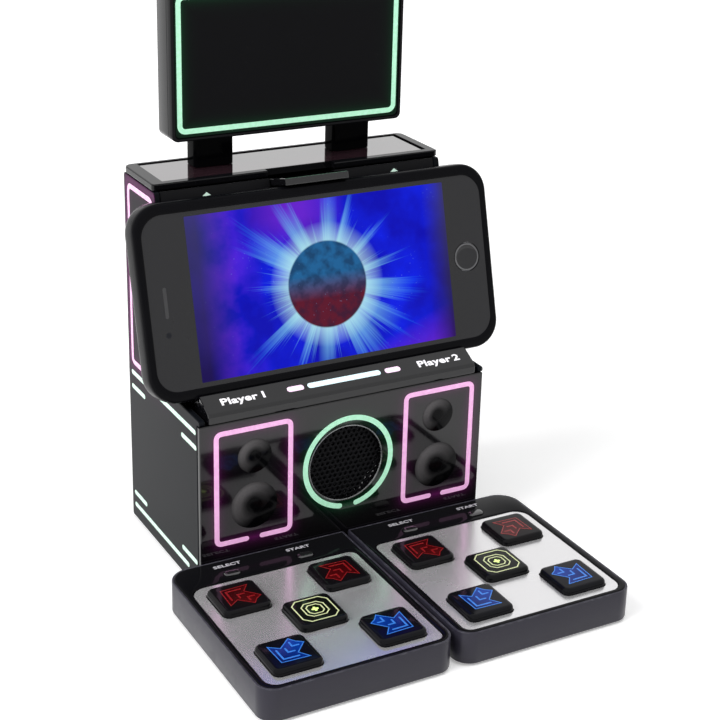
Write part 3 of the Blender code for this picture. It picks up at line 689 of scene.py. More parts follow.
def display_ball(g, uv, up):
    """The ball's colour: blue above and red below, with darker patches."""
    halves = g.mix(g.spread(up, -0.10, 0.08), linear((92, 18, 40)), linear((30, 96, 148)))
    patch = g.spread(g.noise(uv, 11.0, Detail=2.0), 0.42, 0.62, 0.0, 0.55)
    return g.mix(patch, halves, linear((12, 22, 52)))


@made_once
def screen_material(name):
    """A burst of light: rays are noise read round the middle by angle only, fading outwards
    from a white and cyan heart into deep blue, with violet above, below and at both ends."""
    g, shader = new_material(name)
    uv = g.face()
    across, up = g.split(uv)
    away = g.vector("LENGTH", uv)
    cloud = g.noise(uv, 2.4, Detail=4.0)
    beam = display_rays(g, uv, across, up, away)
    heart = g.spread(away, 0.46, 0.27)
    hue = g.mix(g.spread(away, 0.34, 0.72), linear((150, 226, 240)), linear((30, 120, 236)))
    lit = g.mix(g.math("MULTIPLY", beam, 0.88), display_sky(g, across, up, cloud), hue)
    lit = g.mix(g.math("MULTIPLY", heart, 0.62), lit, linear((196, 236, 236)))
    lit = g.mix(g.spread(away, 0.322, 0.310), lit, display_ball(g, uv, up))
    stars = g.add("TexVoronoi", Vector=uv, Scale=34.0).outputs["Distance"]
    sparkle = g.math("MULTIPLY", g.spread(stars, 0.12, 0.03), g.spread(cloud, 0.5, 0.62))
    lit = g.mix(g.math("MULTIPLY", sparkle, 0.5), lit, linear((150, 190, 250)))
    # Both ends sink into a dusky violet, the left one further than the right.
    ends = g.math("MAXIMUM", g.spread(across, 0.84, 1.02), g.spread(across, -0.70, -0.98))
    dusk = g.mix(g.spread(up, -0.5, 0.5), linear((26, 8, 30)), linear((56, 52, 84)))
    lit = g.mix(g.math("MULTIPLY", ends, 0.85), lit, dusk)
    g.feed(shader, {"Base Color": (0.004, 0.004, 0.006), "Roughness": 0.04,
                    "Emission Color": lit, "Emission Strength": 1.0,
                    "Specular IOR Level": 0.03})


MAGENTA_SPILL = linear((116, 26, 104))
GREEN_SPILL = linear((14, 84, 48))


def prints():
    """Sizes and colours of everything that is printed."""
    return bpy.context.scene.dance_print


def finishes():
    """Sizes and colours of the mouldings."""
    return bpy.context.scene.dance_finish


def gloss_black(name="cabinet gloss", **values):
    """The cabinet's glossy black plastic, or one that differs from it in these values."""
    settings = dict(colour=finishes().gloss_black, roughness=0.07, mottle=0.3, smear=0.04,
                    scratches=0.3, dust=0.008, gloss=0.08)
    settings.update(values)
    return plastic(name, **settings)


def matt_black():
    """The dull black plastic of the back, the base and the inner mouldings."""
    return plastic("inner black plastic", finishes().matt_black, 0.42, mottle=0.25,
                   smear=0.1, scratches=0.2, dust=0.01, grain=0.5, gloss=0.12)


def rubber():
    """The dusty rubber of the feet."""
    return plastic("foot rubber", finishes().rubber, 0.75, mottle=0.3, smear=0.1,
                   scratches=0.0, dust=0.06, grain=1.0, gloss=0.3)


def circuit_board():
    """Green lacquer on a circuit board."""
    return plastic("circuit board", (0.02, 0.11, 0.045), 0.4, mottle=0.4, grain=0.3)


def handset_glass():
    """The handset's near-black front glass."""
    return plastic("handset glass", (0.010, 0.010, 0.012), 0.035, mottle=0.2, smear=0.08,
                   scratches=0.3, dust=0.006, gloss=0.38)


def pink_ink():
    """Ink of the boxes on the front and the outlines on the sides."""
    return neon("pink line ink", prints().pink, 0.45)


def mint_ink():
    """Ink of the ring on the front and the sign's outline."""
    return neon("mint line ink", prints().mint, 0.42)


def stripe_ink():
    """Ink of the stripes on the sides and the marks on the cradle."""
    return neon("stripe white ink", prints().stripe_white, 0.35)


# ---- pads ---------------------------------------------------------------------------------
OUTER_RADII = (6.5, 6.5, 8.5, 1.0)         # front inner, front outer, back outer, back inner
OPENING_RADII = (3.3, 4.8, 5.8, 3.3)
PAD_WALL = 2.2
OVERLAP = 0.3                              # gap between the silver plate and the bezel
TONGUE, FLOOR_STEPS = (6.0, 52.0), 10      # inner and outer edge of the floor's tongue


def side_order(radii, side):
    """Corner radii in outline order for the right pad (1) or its mirror image (-1)."""
    inner_front, outer_front, outer_back, inner_back = radii
    if side > 0:
        return inner_front, outer_front, outer_back, inner_back
    return outer_front, inner_front, inner_back, outer_back


def pad_wall(pad, outer, opening, rim):
    """The grey wall from the floor to the rim, with a shelf for the bezel: one profile
    carried round the pad's outline and round its opening."""
    foot = span(pad + "_floor")[0][2] + 0.1
    crown, shelf = span(pad + "_bezel")[1][2] - 0.1, span(pad + "_bezel")[0][2] - 0.1
    profile = [
        ("outer", PAD_WALL, foot), ("outer", 0.5, foot), ("outer", 0.15, foot + 0.15),
        ("outer", 0.0, foot + 0.5), ("outer", 0.0, crown - 0.35),
        ("outer", 0.1, crown - 0.1), ("outer", 0.32, crown), ("outer", rim - 0.1, crown),
        ("outer", rim, crown - 0.1), ("outer", rim, shelf), ("inner", 0.0, shelf),
        ("inner", 0.0, shelf - 1.2), ("outer", PAD_WALL, shelf - 1.2)]
    points, faces = framed(TOP, outer, opening, profile, steps=14)
    # Painted highlight: the grey's rounded edges go three quarters of the way to a pale grey.
    grey = plastic("pad grey plastic", finishes().pad_grey, 0.30, mottle=0.18, smear=0.10,
                   scratches=0.25, dust=0.01, grain=0.25, gloss=0.25,
                   edge_highlight=(0.75, (0.22, 0.22, 0.25)))
    wall = new_piece(pad + "_frame_moulding", points, faces, grey,
                     replaces=(pad + "_frame",))
    cut_wells(wall, pad)


def pad_floor(pad, side, outer):
    """The floor inside the wall, with the tongue that reaches under the cabinet: the pad's
    outline pulled in, with the tongue's four corners put in after its third rounded one."""
    low, high = span(pad + "_floor")
    ring = rounded_outline(*outer, PAD_WALL + 0.2, FLOOR_STEPS)
    tongue = sorted((TONGUE[0] * side, TONGUE[1] * side))
    back, reach = ring[:, 1].max(), high[1]
    turn = 3 * (FLOOR_STEPS + 1)
    corners = ((tongue[1], back), (tongue[1], reach), (tongue[0], reach), (tongue[0], back))
    outline = np.concatenate((ring[:turn], corners, ring[turn:]))
    points, faces = moved(slab_of(outline, high[2] - low[2], 0.0), out=low[2])
    new_piece(pad + "_floor_plate", TOP.at(points), faces, matt_black(),
              replaces=(pad + "_floor",))


def pad_bezel(pad, outer, opening, rim):
    """The black bezel inside the wall's rim, rounded over at both its edges."""
    low, high = span(pad + "_bezel")
    foot, crown = low[2], high[2]
    edge = rim + 0.08
    profile = [("outer", edge + 0.2, foot), ("outer", edge, foot + 0.2),
               ("outer", edge, crown - 0.35), ("outer", edge + 0.06, crown - 0.15),
               ("outer", edge + 0.18, crown - 0.04), ("outer", edge + 0.36, crown),
               ("inner", 0.3, crown), ("inner", 0.06, crown - 0.06),
               ("inner", 0.0, crown - 0.3), ("inner", 0.0, foot)]
    points, faces = framed(TOP, (low, high, outer[2]), opening, profile, steps=14)
    bezel = new_piece(pad + "_bezel_moulding", points, faces, gloss_black("pad bezel gloss"),
                      replaces=(pad + "_bezel",))
    cut_wells(bezel, pad)


def pad_pieces(pad, side):
    """A pad's wall, floor and bezel, which share its outline and its opening."""
    outer = (*span(pad + "_frame"), side_order(OUTER_RADII, side))
    plate_low, plate_high = span(pad + "_plate")
    opening = (plate_low - OVERLAP, plate_high + OVERLAP, side_order(OPENING_RADII, side))
    rim = finishes().pad_rim / MM
    pad_wall(pad, outer, opening, rim)
    pad_floor(pad, side, outer)
    pad_bezel(pad, outer, opening, rim)


KEY_WORDS = ("select", "start")
KEY_FLANGE, KEY_GAP, KEY_CORNER, KEY_STEPS = 0.7, 0.2, 1.7, 8
WELL_REACH = 2.0                           # how far a well's cutter passes a key at both ends
KEY_PROFILE = ((-0.7, 0.0), (-0.7, 0.85), (-0.62, 0.9), (0.0, 0.95), (0.0, 4.35), (0.05, 4.6),
               (0.18, 4.82), (0.42, 4.98), (0.75, 5.07), (1.2, 5.1))


def key_outline(node, inset):
    """Corners of a key's own oval, pulled in by inset, without its hidden flange."""
    low, high = span(node)
    return low[:2] + KEY_FLANGE + inset, high[:2] - KEY_FLANGE - inset


def cut_wells(piece, pad):
    """Takes the wells of the pad's two keys out of a closed moulding: each well is the key's
    oval, grown by the gap, carried straight up through it."""
    cutters = []
    for word in KEY_WORDS:
        node = "%s_%s_button" % (pad, word)
        foot, crown = span(node)[0][2] - WELL_REACH, span(node)[1][2] + WELL_REACH
        points, faces = lofted(TOP, *key_outline(node, -KEY_GAP), (KEY_CORNER + KEY_GAP,) * 4,
                               ((0.0, foot), (0.0, crown)), steps=KEY_STEPS)
        mesh = bpy.data.meshes.new("well")
        mesh.from_pydata(np.asarray(points, float).tolist(), [], faces)
        cutter = bpy.data.objects.new("well", mesh)
        bpy.context.scene.collection.objects.link(cutter)
        cut = piece.modifiers.new("well", "BOOLEAN")
        cut.operation, cut.solver, cut.object = "DIFFERENCE", "EXACT", cutter
        cutters.append(cutter)
    solid = piece.data
    graph = bpy.context.evaluated_depsgraph_get()
    piece.data = bpy.data.meshes.new_from_object(piece.evaluated_get(graph))
    piece.modifiers.clear()
    bpy.data.meshes.remove(solid)
    for cutter in cutters:
        mesh = cutter.data
        bpy.data.objects.remove(cutter)
        bpy.data.meshes.remove(mesh)
    piece.data.name = piece.name
    shade(piece)


def key_pieces(pad):
    """SELECT and START keys: a small oval with a crowned top, on the flange that holds it.
    KEY_PROFILE is stretched to the key's own height."""
    for word in KEY_WORDS:
        node = "%s_%s_button" % (pad, word)
        foot, crown = span(node)[0][2], span(node)[1][2]
        profile = [(inset, foot + height * (crown - foot) / KEY_PROFILE[-1][1])
                   for inset, height in KEY_PROFILE]
        points, faces = lofted(TOP, *key_outline(node, 0.0), (KEY_CORNER,) * 4, profile,
                               steps=KEY_STEPS)
        new_piece(node + "_cap", points, faces,
                  gloss_black("key gloss", roughness=0.10, gloss=1.0, coat=0.5),
                  body=node, replaces=(node,), sharp=CAP_CREASE)


LABEL_ROW = -4.9                           # the words' middle, behind the keys
LABELS = {"left_pad": (("SELECT", -50.1), ("START", -21.9)),
          "right_pad": (("SELECT", 21.4), ("START", 50.9))}


def label_pieces():
    """SELECT and START printed behind each pad's two keys."""
    height = prints().label_height / MM
    for pad, spots in LABELS.items():
        top = span(pad + "_bezel")[1][2]
        words = [moved(lettering(word, height, 0.07, 1.05, 1.35), across, LABEL_ROW, top)
                 for word, across in spots]
        lay(pad + "_labels", TOP, words, neon("label white ink", prints().label_white, 0.10))


# ---- buttons ------------------------------------------------------------------------------
ARROW = ((0.0, 6.9), (7.4, 0.1), (3.05, -0.6), (2.75, -6.9), (0.0, -6.45), (-2.75, -6.9),
         (-3.05, -0.6), (-7.4, 0.1))
ARROW_HEAD = ((-4.2, 0.85), (0.0, 4.9), (4.2, 0.85))
ARROW_MIDDLE = ((-1.9, -1.3), (0.0, 0.55), (1.9, -1.3))
ARROW_TAIL = ((-1.85, -5.1), (0.0, -3.25), (1.85, -5.1))


CAP_FLANGE, CAP_CORNER = 0.5, 2.6
CAP_PROFILE = ((-0.5, 0.0), (-0.5, 1.0), (-0.42, 1.2), (0.0, 1.25), (0.05, 3.9), (0.12, 4.35),
               (0.32, 4.85), (0.68, 5.2), (1.1, 5.36), (1.7, 5.4))
OCTAGONS = ((6.7, 2.3), (4.15, 1.8), (2.75, 1.25))      # half width and cut of each
OCTAGON_LINE, CROSS_HALF, CROSS_LINE = 0.42, 1.35, 1.0
# Colours of the painted glow in each cap's middle.
CAP_GLOW_TINTS = {"red": (36, 2, 4), "blue": (2, 7, 44), "lime": (24, 30, 4)}
ARROW_FILLS = {"red": ((36, 2, 4), (68, 6, 9)), "blue": ((2, 8, 64), (5, 52, 142))}


def octagon(half, cut):
    """A square of this half width with each corner cut off by cut along both its sides."""
    a, b = half, half - cut
    return np.array(((b, -a), (a, -b), (a, b), (b, a), (-b, a), (-a, b), (-a, -b), (-b, -a)))


def with_face_uv(obj, plane, half):
    """Store each corner's place on the plane, over half, as the UV map called face."""
    mesh = obj.data
    points = np.zeros(len(mesh.vertices) * 3)
    mesh.vertices.foreach_get("co", points)
    local = points.reshape(-1, 3) / MM - (0.0, FRONT_Y, 0.0) - plane.origin
    uv = np.stack((local @ plane.axes[0], local @ plane.axes[1]), -1) / half
    loops = np.zeros(len(mesh.loops), np.int32)
    mesh.loops.foreach_get("vertex_index", loops)
    layer = mesh.uv_layers.new(name="face")
    layer.data.foreach_set("uv", uv[loops].astype(np.float32).ravel())


def centre_sign(node, facing, crown):
    """Three nested octagons and a cross on a middle button."""
    rings = [raised_line(octagon(*sizes), OCTAGON_LINE, INK, closed=True)
             for sizes in OCTAGONS]
    lay(node + "_rings", facing, [moved(ring, out=crown) for ring in rings],
        neon("lime ring ink", prints().lime, 0.12), node)
    bars = (raised_line(((-CROSS_HALF, 0), (CROSS_HALF, 0)), CROSS_LINE, INK),
            raised_line(((0, -CROSS_HALF), (0, CROSS_HALF)), CROSS_LINE, LINE_INK))
    lay(node + "_cross", facing, [moved(bar, out=crown) for bar in bars],
        neon("lime cross ink", prints().lime_cross, 0.35), node)


def arrow_sign(node, kind, facing, crown, half):
    """An arrow's fill, its outline and the three chevrons inside it on a corner button."""
    outline = np.array(ARROW)[::-1]
    fill = lay(node + "_arrow_fill", facing, [moved(slab_of(outline, FILL), out=crown)],
               fill_material(kind + " arrow fill", *map(linear, ARROW_FILLS[kind])), node)
    with_face_uv(fill, facing, half)
    strokes = [raised_line(outline, prints().arrow_outline / MM, LINE_INK, closed=True)]
    strokes += [raised_line(path, prints().chevron_width / MM, LINE_INK)
                for path in (ARROW_HEAD, ARROW_MIDDLE, ARROW_TAIL)]
    lay(node + "_arrow_lines", facing, [moved(stroke, out=crown) for stroke in strokes],
        neon(kind + " arrow ink", getattr(prints(), kind), 0.12), node)


def button_piece(node, kind, direction):
    """A square cap with its sign: its outline carried up CAP_PROFILE, which is stretched to
    the node's own height. The sign is turned to its direction, in radians from straight
    back."""
    low, high = span(node)
    middle = (low + high) / 2
    half, crown = (high[0] - low[0]) / 2 - CAP_FLANGE, high[2] - low[2]
    plane = Plane((middle[0], middle[1], low[2]), (1, 0, 0), (0, 1, 0))
    profile = [(inset, height * crown / CAP_PROFILE[-1][1]) for inset, height in CAP_PROFILE]
    points, faces = lofted(plane, (-half, -half), (half, half), (CAP_CORNER,) * 4, profile,
                           steps=9)
    cap = new_piece(node + "_cap", points, faces,
                    cap_material(kind + " button cap", linear(CAP_GLOW_TINTS[kind])), body=node,
                    replaces=(node,), sharp=CAP_CREASE)
    facing = plane.turned(0, 0, direction)
    with_face_uv(cap, facing, half)
    if kind == "lime":
        centre_sign(node, facing, crown)
    else:
        arrow_sign(node, kind, facing, crown, half)


# ---- printed lines on the cabinet ---------------------------------------------------------
def corner_path(points, radius, steps=6):
    """An open path whose inner corners are arcs: each corner is a quarter of the curve
    (1-t)^2 A + 2t(1-t) B + t^2 C between the points one radius away."""
    points = np.asarray(points, float)
    path = [points[0]]
    for before, here, after in zip(points, points[1:], points[2:]):
        into = (before - here) / np.linalg.norm(before - here)
        out = (after - here) / np.linalg.norm(after - here)
        t = np.linspace(0, 1, steps + 1)[:, None]
        start, stop = here + into * radius, here + out * radius
        path.extend((1 - t) ** 2 * start + 2 * t * (1 - t) * here + t ** 2 * stop)
    path.append(points[-1])
    return np.array(path)


LEFT_BOX = (-51.75, -22.75, 18.95, 62.35)       # middle of the pink line: x and z spans
RIGHT_BOX = (24.8, 53.4, 18.95, 62.65)
BOX_GAP, BOX_CORNER = (-1.9, 2.3), 2.2          # the gap in a box's foot, from its middle
RING_AT, RING_R, RING_ARC = (1.0, 40.8), 17.7, (-82.0, 262.5)
CONES = ((-36.9, 51.4, 6.6), (-37.1, 31.9, 9.1), (38.7, 52.4, 6.6), (38.8, 31.7, 9.1))


def front_lines():
    """Two boxes that are open at the foot, and a ring: centre + radius * (cos a, sin a)."""
    boxes = []
    for x0, x1, z0, z1 in (LEFT_BOX, RIGHT_BOX):
        middle = (x0 + x1) / 2
        path = corner_path(((middle + BOX_GAP[0], z0), (x0, z0), (x0, z1), (x1, z1), (x1, z0),
                            (middle + BOX_GAP[1], z0)), BOX_CORNER)
        boxes.append(raised_line(path, prints().line_width / MM, LINE_INK))
    lay("front_pink_lines", FRONT, boxes, pink_ink())
    turn = np.radians(np.linspace(*RING_ARC, 90))
    path = np.stack((RING_AT[0] + RING_R * np.cos(turn),
                     RING_AT[1] + RING_R * np.sin(turn)), -1)
    lay("front_mint_ring", FRONT, [raised_line(path, prints().ring_width / MM, LINE_INK)],
        mint_ink())


def front_cones():
    """Four printed loudspeakers: flat discs, whose UV map measures from their own middle."""
    for index, (across, up, radius) in enumerate(CONES):
        points, faces = turned_shape(FRONT, (across, up), ((radius, -SINK), (radius, FILL),
                                                           (radius - 0.05, INK)), 72)
        disc = new_piece("front_printed_cone_%d" % (index + 1), points, faces,
                         cone_material("printed cone"))
        with_face_uv(disc, Plane((across, 0, up), (1, 0, 0), (0, 0, 1)), radius)


CELL_SIDES = 12                            # points of a hole's circle, two to a cell's edge
GRILLE_RIM = ((14.75, -1.0), (14.72, -0.1), (14.85, 0.05), (15.15, 0.05), (15.2, -0.03))


def grille_cells(reach):
    """Close round holes: each six-sided cell joins its outline to a circle. A cell's edge
    lies pitch / 2 / cos(b) from its middle, b being the angle from the nearest edge's middle.
    The cells' middles make an even triangular grid out to reach."""
    pitch, hole = finishes().grille_pitch / MM, finishes().grille_hole / 2 / MM
    across, up = np.meshgrid(np.arange(-9, 10), np.arange(-9, 10))
    centres = np.stack((across + (up % 2) * 0.5, up * math.sqrt(3) / 2), -1).reshape(-1, 2)
    centres = centres * pitch
    centres = centres[np.hypot(*centres.T) < reach - pitch * 0.3]
    turn = np.arange(CELL_SIDES) * 2 * math.pi / CELL_SIDES
    flat = np.mod(turn, math.pi / 3)
    flat = flat - np.where(flat > math.pi / 6, math.pi / 3, 0.0)
    edge = pitch / 2 / np.cos(flat)
    spokes = np.stack((np.cos(turn), np.sin(turn)), -1)
    cell = np.concatenate((spokes * edge[:, None], spokes * hole))
    points = (centres[:, None, :] + cell[None]).reshape(-1, 2)
    ring = np.arange(CELL_SIDES)
    after = (ring + 1) % CELL_SIDES
    quad = np.stack((ring, after, after + CELL_SIDES, ring + CELL_SIDES), -1)
    faces = (np.arange(len(centres))[:, None, None] * 2 * CELL_SIDES + quad[None])
    merged, index = np.unique(np.round(points, 4), axis=0, return_inverse=True)
    return merged, index.reshape(-1)[faces.reshape(-1, 4)]


def thicken(piece, thickness):
    """Give a sheet its wall, on its inner side."""
    wall = piece.modifiers.new("thickness", "SOLIDIFY")
    wall.thickness = thickness * MM
    wall.offset = -1.0


def grille_pieces():
    """The loudspeaker's perforated sheet, and the bright rim turned round it."""
    low, high = span("speaker_grille")
    middle_up = (low[2] + high[2]) / 2
    points, faces = grille_cells((high[0] - low[0]) / 2 - 0.4)
    plane = Plane((0, low[1], middle_up), (1, 0, 0), (0, 0, 1))
    paint = plastic("grille black paint", (0.004, 0.004, 0.005), 0.5, mottle=0.3, dust=0.02,
                    grain=0.6, gloss=0.1)
    sheet = new_piece("grille_sheet", plane.at(lifted(points, 0.0)), faces.tolist(), paint,
                      replaces=("speaker_grille",))
    thicken(sheet, high[1] - low[1])
    rim_plane = Plane((0, 0, middle_up), (1, 0, 0), (0, 0, 1))
    points, faces = turned_shape(rim_plane, (0, 0), GRILLE_RIM, 96, ends=False)
    rim = new_piece("grille_rim", points, faces, metal("rim metal", (0.30, 0.31, 0.31), 0.25))
    thicken(rim, 0.03)


LIP_FOOT, LIP_TOP = (0.6, 70.5), (7.9, 74.2)   # (depth, height) of the ledge's sloping face


PLAYER_WORDS = (("Player 1", -39.2), ("Player 2", 40.6))
BAR_WIDTH, LONG_BAR = 2.3, (-14.1, 15.8)
SHORT_BARS = ((-22.3, -15.6), (17.7, 24.2))


def lip_plane():
    """The ledge's sloping face: right along the ledge, and up its slope."""
    slope = np.array(LIP_TOP) - LIP_FOOT
    slope /= np.linalg.norm(slope)
    middle = (np.array(LIP_FOOT) + LIP_TOP) / 2
    return Plane((0, middle[0], middle[1]), (1, 0, 0), (0, slope[0], slope[1]))


def ledge_lines():
    """The players' words, and the long bar between two short ones."""
    lip = lip_plane()
    height = prints().player_height / MM
    lay("ledge_player_labels", lip,
        [moved(lettering(words, height, 0.13, 1.05, 1.36, 0.55), across)
         for words, across in PLAYER_WORDS],
        neon("player label ink", linear((240, 238, 240)), 0.3))
    lay("ledge_long_bar", lip, [raised_line([(end, 0) for end in LONG_BAR], BAR_WIDTH, INK)],
        neon("cool white ink", prints().cool_white, 0.5))
    lay("ledge_short_bars", lip, [raised_line([(end, 0) for end in ends], BAR_WIDTH, INK)
                                  for ends in SHORT_BARS],
        neon("pale pink ink", prints().pale_pink, 0.45))


SIDE_OUTLINE = ((63.5, 67.6), (63.5, 136.8), (41.0, 136.8), (23.8, 74.0), (23.8, 67.6))
SIDE_STRIPES = (((64.9, 63.0), (3.4, 63.0)), ((65.0, 57.2), (51.6, 57.2)),
                ((16.6, 57.2), (2.9, 57.2)), ((65.2, 11.8), (52.2, 11.8)),
                ((17.3, 11.6), (3.2, 11.6)), ((65.0, 6.7), (10.8, 6.7)))


def side_lines():
    """The stripes and the outline of a side, and the same mirrored on the other side."""
    for name, plane, toward in (("left", LEFT, -1), ("right", RIGHT, 1)):
        flip = np.array((toward, 1.0))
        lay(name + "_side_stripes", plane,
            [raised_line(np.array(stripe) * flip, 1.9, INK) for stripe in SIDE_STRIPES],
            stripe_ink())
        path = np.array(SIDE_OUTLINE) * flip
        path = corner_path(np.concatenate((path[-1:], path, path[:1])), 2.4)[1:-1]
        lay(name + "_side_outline", plane,
            [raised_line(path, prints().line_width / MM, INK, closed=True)], pink_ink())


# ---- handset ------------------------------------------------------------------------------
CASE_HALF, CASE_RADIUS, CASE_THICK = (71.3, 35.2), 10.5, 10.1
LIP_HALF = (68.3, 31.0)                     # opening of the lip that holds the glass
POCKET = 1.35                               # wall between the case's outside and the handset
GLASS_FACE = -0.4                           # the glass's front, behind the case's front
SCREEN_LOW, SCREEN_HIGH = (-52.0, -29.3), (52.2, 29.3)
BURST_AT, BURST_REACH = (0.6, -1.8), 50.0   # the burst's middle, and where its map is one
KEY_DISH = ((5.3, -1.8), (5.3, -0.62), (5.22, -0.55), (4.95, -0.55), (4.75, -0.62),
            (3.2, -0.78), (1.5, -0.88), (0.15, -0.9))
KEY_RING = ((4.62, -0.66), (4.62, -0.50), (4.70, -0.46), (5.15, -0.46), (5.22, -0.50),
            (5.22, -0.58))
PORTS = ((-22.0, -12.0), (-4.5, 4.5), (11.0, 19.0))


def case_shell():
    """The rubber case, open in front: one profile goes round its outside, over its lip and
    down into the pocket that holds the handset."""
    outer = ((-CASE_HALF[0], -CASE_HALF[1]), CASE_HALF, (CASE_RADIUS,) * 4)
    opening = ((-LIP_HALF[0], -LIP_HALF[1]), LIP_HALF, (8.0,) * 4)
    back, floor = -CASE_THICK, -(CASE_THICK - 2.3)
    profile = [("outer", 4.0, back), ("outer", 1.9, back + 0.10), ("outer", 0.75, back + 0.70),
               ("outer", 0.12, back + 1.9), ("outer", 0.0, back + 3.2), ("outer", 0.0, -2.6),
               ("outer", 0.12, -1.3), ("outer", 0.42, -0.5), ("outer", 0.85, -0.1),
               ("outer", 1.2, 0.0), ("inner", 0.5, 0.0), ("inner", 0.12, -0.06),
               ("inner", 0.0, -0.2), ("inner", 0.0, -0.38), ("outer", POCKET, -0.38),
               ("outer", POCKET, floor), ("outer", 4.0, floor)]
    points, faces = framed(DOCK, outer, opening, profile, steps=20, capped=True)
    rubbery = plastic("case rubber", finishes().case_black, 0.20, mottle=0.25, smear=0.12,
                      scratches=0.15, dust=0.008, grain=0.5, gloss=0.05)
    new_piece("case_shell", points, faces, rubbery, body="handset",
              replaces=("phone_case",), sharp=CAP_CREASE)


def display_piece():
    """The lit display, just proud of the glass; its UV map measures from the burst."""
    points, faces = lofted(DOCK, SCREEN_LOW, SCREEN_HIGH, (0.3,) * 4,
                           ((0, GLASS_FACE - 0.05), (0, GLASS_FACE + 0.02),
                            (0.03, GLASS_FACE + 0.03)), 2)
    display = new_piece("handset_display", points, faces, screen_material("lit display"),
                        body="handset")
    with_face_uv(display, DOCK.turned(*BURST_AT, 0.0), BURST_REACH)


def home_key():
    """The round key: a shallow dish, with a bright ring round it."""
    key_low, key_high = span("home_button")
    across = (key_low[0] + key_high[0]) / 2
    points, faces = turned_shape(DOCK, (across, 0.0), KEY_DISH, 72)
    new_piece("home_key_dish", points, faces, handset_glass(), body="home_key",
              replaces=("home_button",))
    points, faces = turned_shape(DOCK, (across, 0.0), KEY_RING + KEY_RING[:1], 72, ends=False)
    new_piece("home_key_ring", points, faces,
              metal("key ring metal", (0.13, 0.13, 0.135), 0.28), body="home_key")


def handset_marks():
    """The earpiece's slot and the round lens at the handset's left end."""
    slot = raised_line(((-62.1, -5.0), (-62.1, 6.0)), 1.3, FILL)
    lay("earpiece_slot", DOCK, [moved(slot, out=GLASS_FACE)],
        plastic("earpiece mesh", (0.03, 0.03, 0.032), 0.5, grain=1.0), "handset")
    points, faces = turned_shape(DOCK, (-62.3, -10.8),
                                 ((1.0, GLASS_FACE - 0.02), (1.0, GLASS_FACE + 0.03),
                                  (0.8, GLASS_FACE + 0.03), (0.65, GLASS_FACE + 0.01)), 40)
    new_piece("front_lens", points, faces,
              plastic("lens black", (0.003, 0.004, 0.009), 0.04, gloss=0.25),
              body="handset")


def case_ports():
    """Three rounded openings with bright rims in the case's right end: each opening is a dark
    sheet of painted shade.
    """
    end = Plane(DOCK.origin + np.array((CASE_HALF[0], 0, 0)), -DOCK.axes[2], DOCK.axes[1])
    outlines = [rounded_outline((3.6, low_end), (6.0, high_end), (1.2,) * 4, steps=6)
                for low_end, high_end in PORTS]
    # Painted shade: a dark sheet stands in for the inside of each opening.
    lay("case_port_openings", end, [slab_of(outline, 0.02) for outline in outlines],
        plastic("port shadow", (0.001, 0.001, 0.001), 0.6, gloss=0.05), "handset")
    lay("case_port_rims", end, [raised_line(outline, 0.22, INK, closed=True)
                                for outline in outlines],
        metal("port rim metal", (0.30, 0.30, 0.31), 0.35), "handset")


def handset_pieces():
    """Everything of the handset and its case that shows."""
    case_shell()
    display_piece()
    home_key()
    handset_marks()
    case_ports()
    finish_node("phone_glass", handset_glass())
    finish_node("phone_body", metal("handset metal", (0.42, 0.42, 0.44), 0.3))


def finish_node(node, material):
    """Give a carried-over CAD node its finish, in place of the plain one."""
    mesh = NODES[node].data
    if not mesh.materials:
        mesh.materials.append(material)
    for index in range(len(mesh.materials)):
        mesh.materials[index] = material


CRADLE_FACE = -11.1                         # the cradle's face, behind the case's front


def cradle_marks():
    """Two small triangles on the cradle, above the handset."""
    marks = [np.array(((across - 2.6, 34.2), (across + 2.6, 34.2), (across, 36.2)))
             for across in (-38.1, 38.4)]
    lay("cradle_marks", DOCK, [moved(slab_of(mark, INK), out=CRADLE_FACE) for mark in marks],
        stripe_ink())


# ---- sign and top -------------------------------------------------------------------------
SIGN_LINE = ((-43.4, 158.2), (43.4, 206.0))     # low and high corner of its outline
SIGN_RADIUS, SIGN_LIP, SIGN_LINE_RADIUS = 2.5, 1.2, 2.2


def sign_pieces():
    """The sign's front frame and rear shell, and the line printed round its bare panel."""
    low, high = span("sign_bezel")
    plane = Plane((0, low[1], 0), (1, 0, 0), (0, 0, 1))
    outer = ((low[0], low[2]), (high[0], high[2]), (SIGN_RADIUS,) * 4)
    inner = ((low[0] + SIGN_LIP, low[2] + SIGN_LIP), (high[0] - SIGN_LIP, high[2] - SIGN_LIP),
             (1.6,) * 4)
    deep = -(high[1] - low[1])
    profile = [("outer", 0.0, deep), ("outer", 0.0, -0.5), ("outer", 0.12, -0.15),
               ("outer", 0.45, 0.0), ("inner", 0.25, 0.0), ("inner", 0.05, -0.1),
               ("inner", 0.0, -0.4), ("inner", 0.0, deep)]
    points, faces = framed(plane, outer, inner, profile)
    new_piece("sign_bezel_moulding", points, faces, gloss_black(),
              replaces=("sign_bezel",))
    low, high = span("sign_shell")
    plane = Plane((0, high[1], 0), (-1, 0, 0), (0, 0, 1))
    deep = -(high[1] - low[1])
    profile = [(2.0, deep), (0.0, deep), (0.0, -1.0), (0.15, -0.45), (0.45, -0.15), (1.0, 0.0)]
    points, faces = lofted(plane, (-high[0], low[2]), (-low[0], high[2]), (SIGN_RADIUS,) * 4,
                           profile)
    new_piece("sign_shell_moulding", points, faces, gloss_black(),
              replaces=("sign_shell",))
    path = rounded_outline(*SIGN_LINE, (SIGN_LINE_RADIUS,) * 4, steps=8)
    lay("sign_mint_outline", SIGN,
        [raised_line(path, prints().line_width / MM, LINE_INK, closed=True)], mint_ink())
    (x0, z0), (x1, z1) = SIGN_LINE
    finish_node("sign_panel", glowing_panel("sign panel gloss", SIGN, (
        spill(x0, x1, z0, z1, SIGN_LINE_RADIUS, GREEN_SPILL),), (0.003, 0.003, 0.004), 0.08))


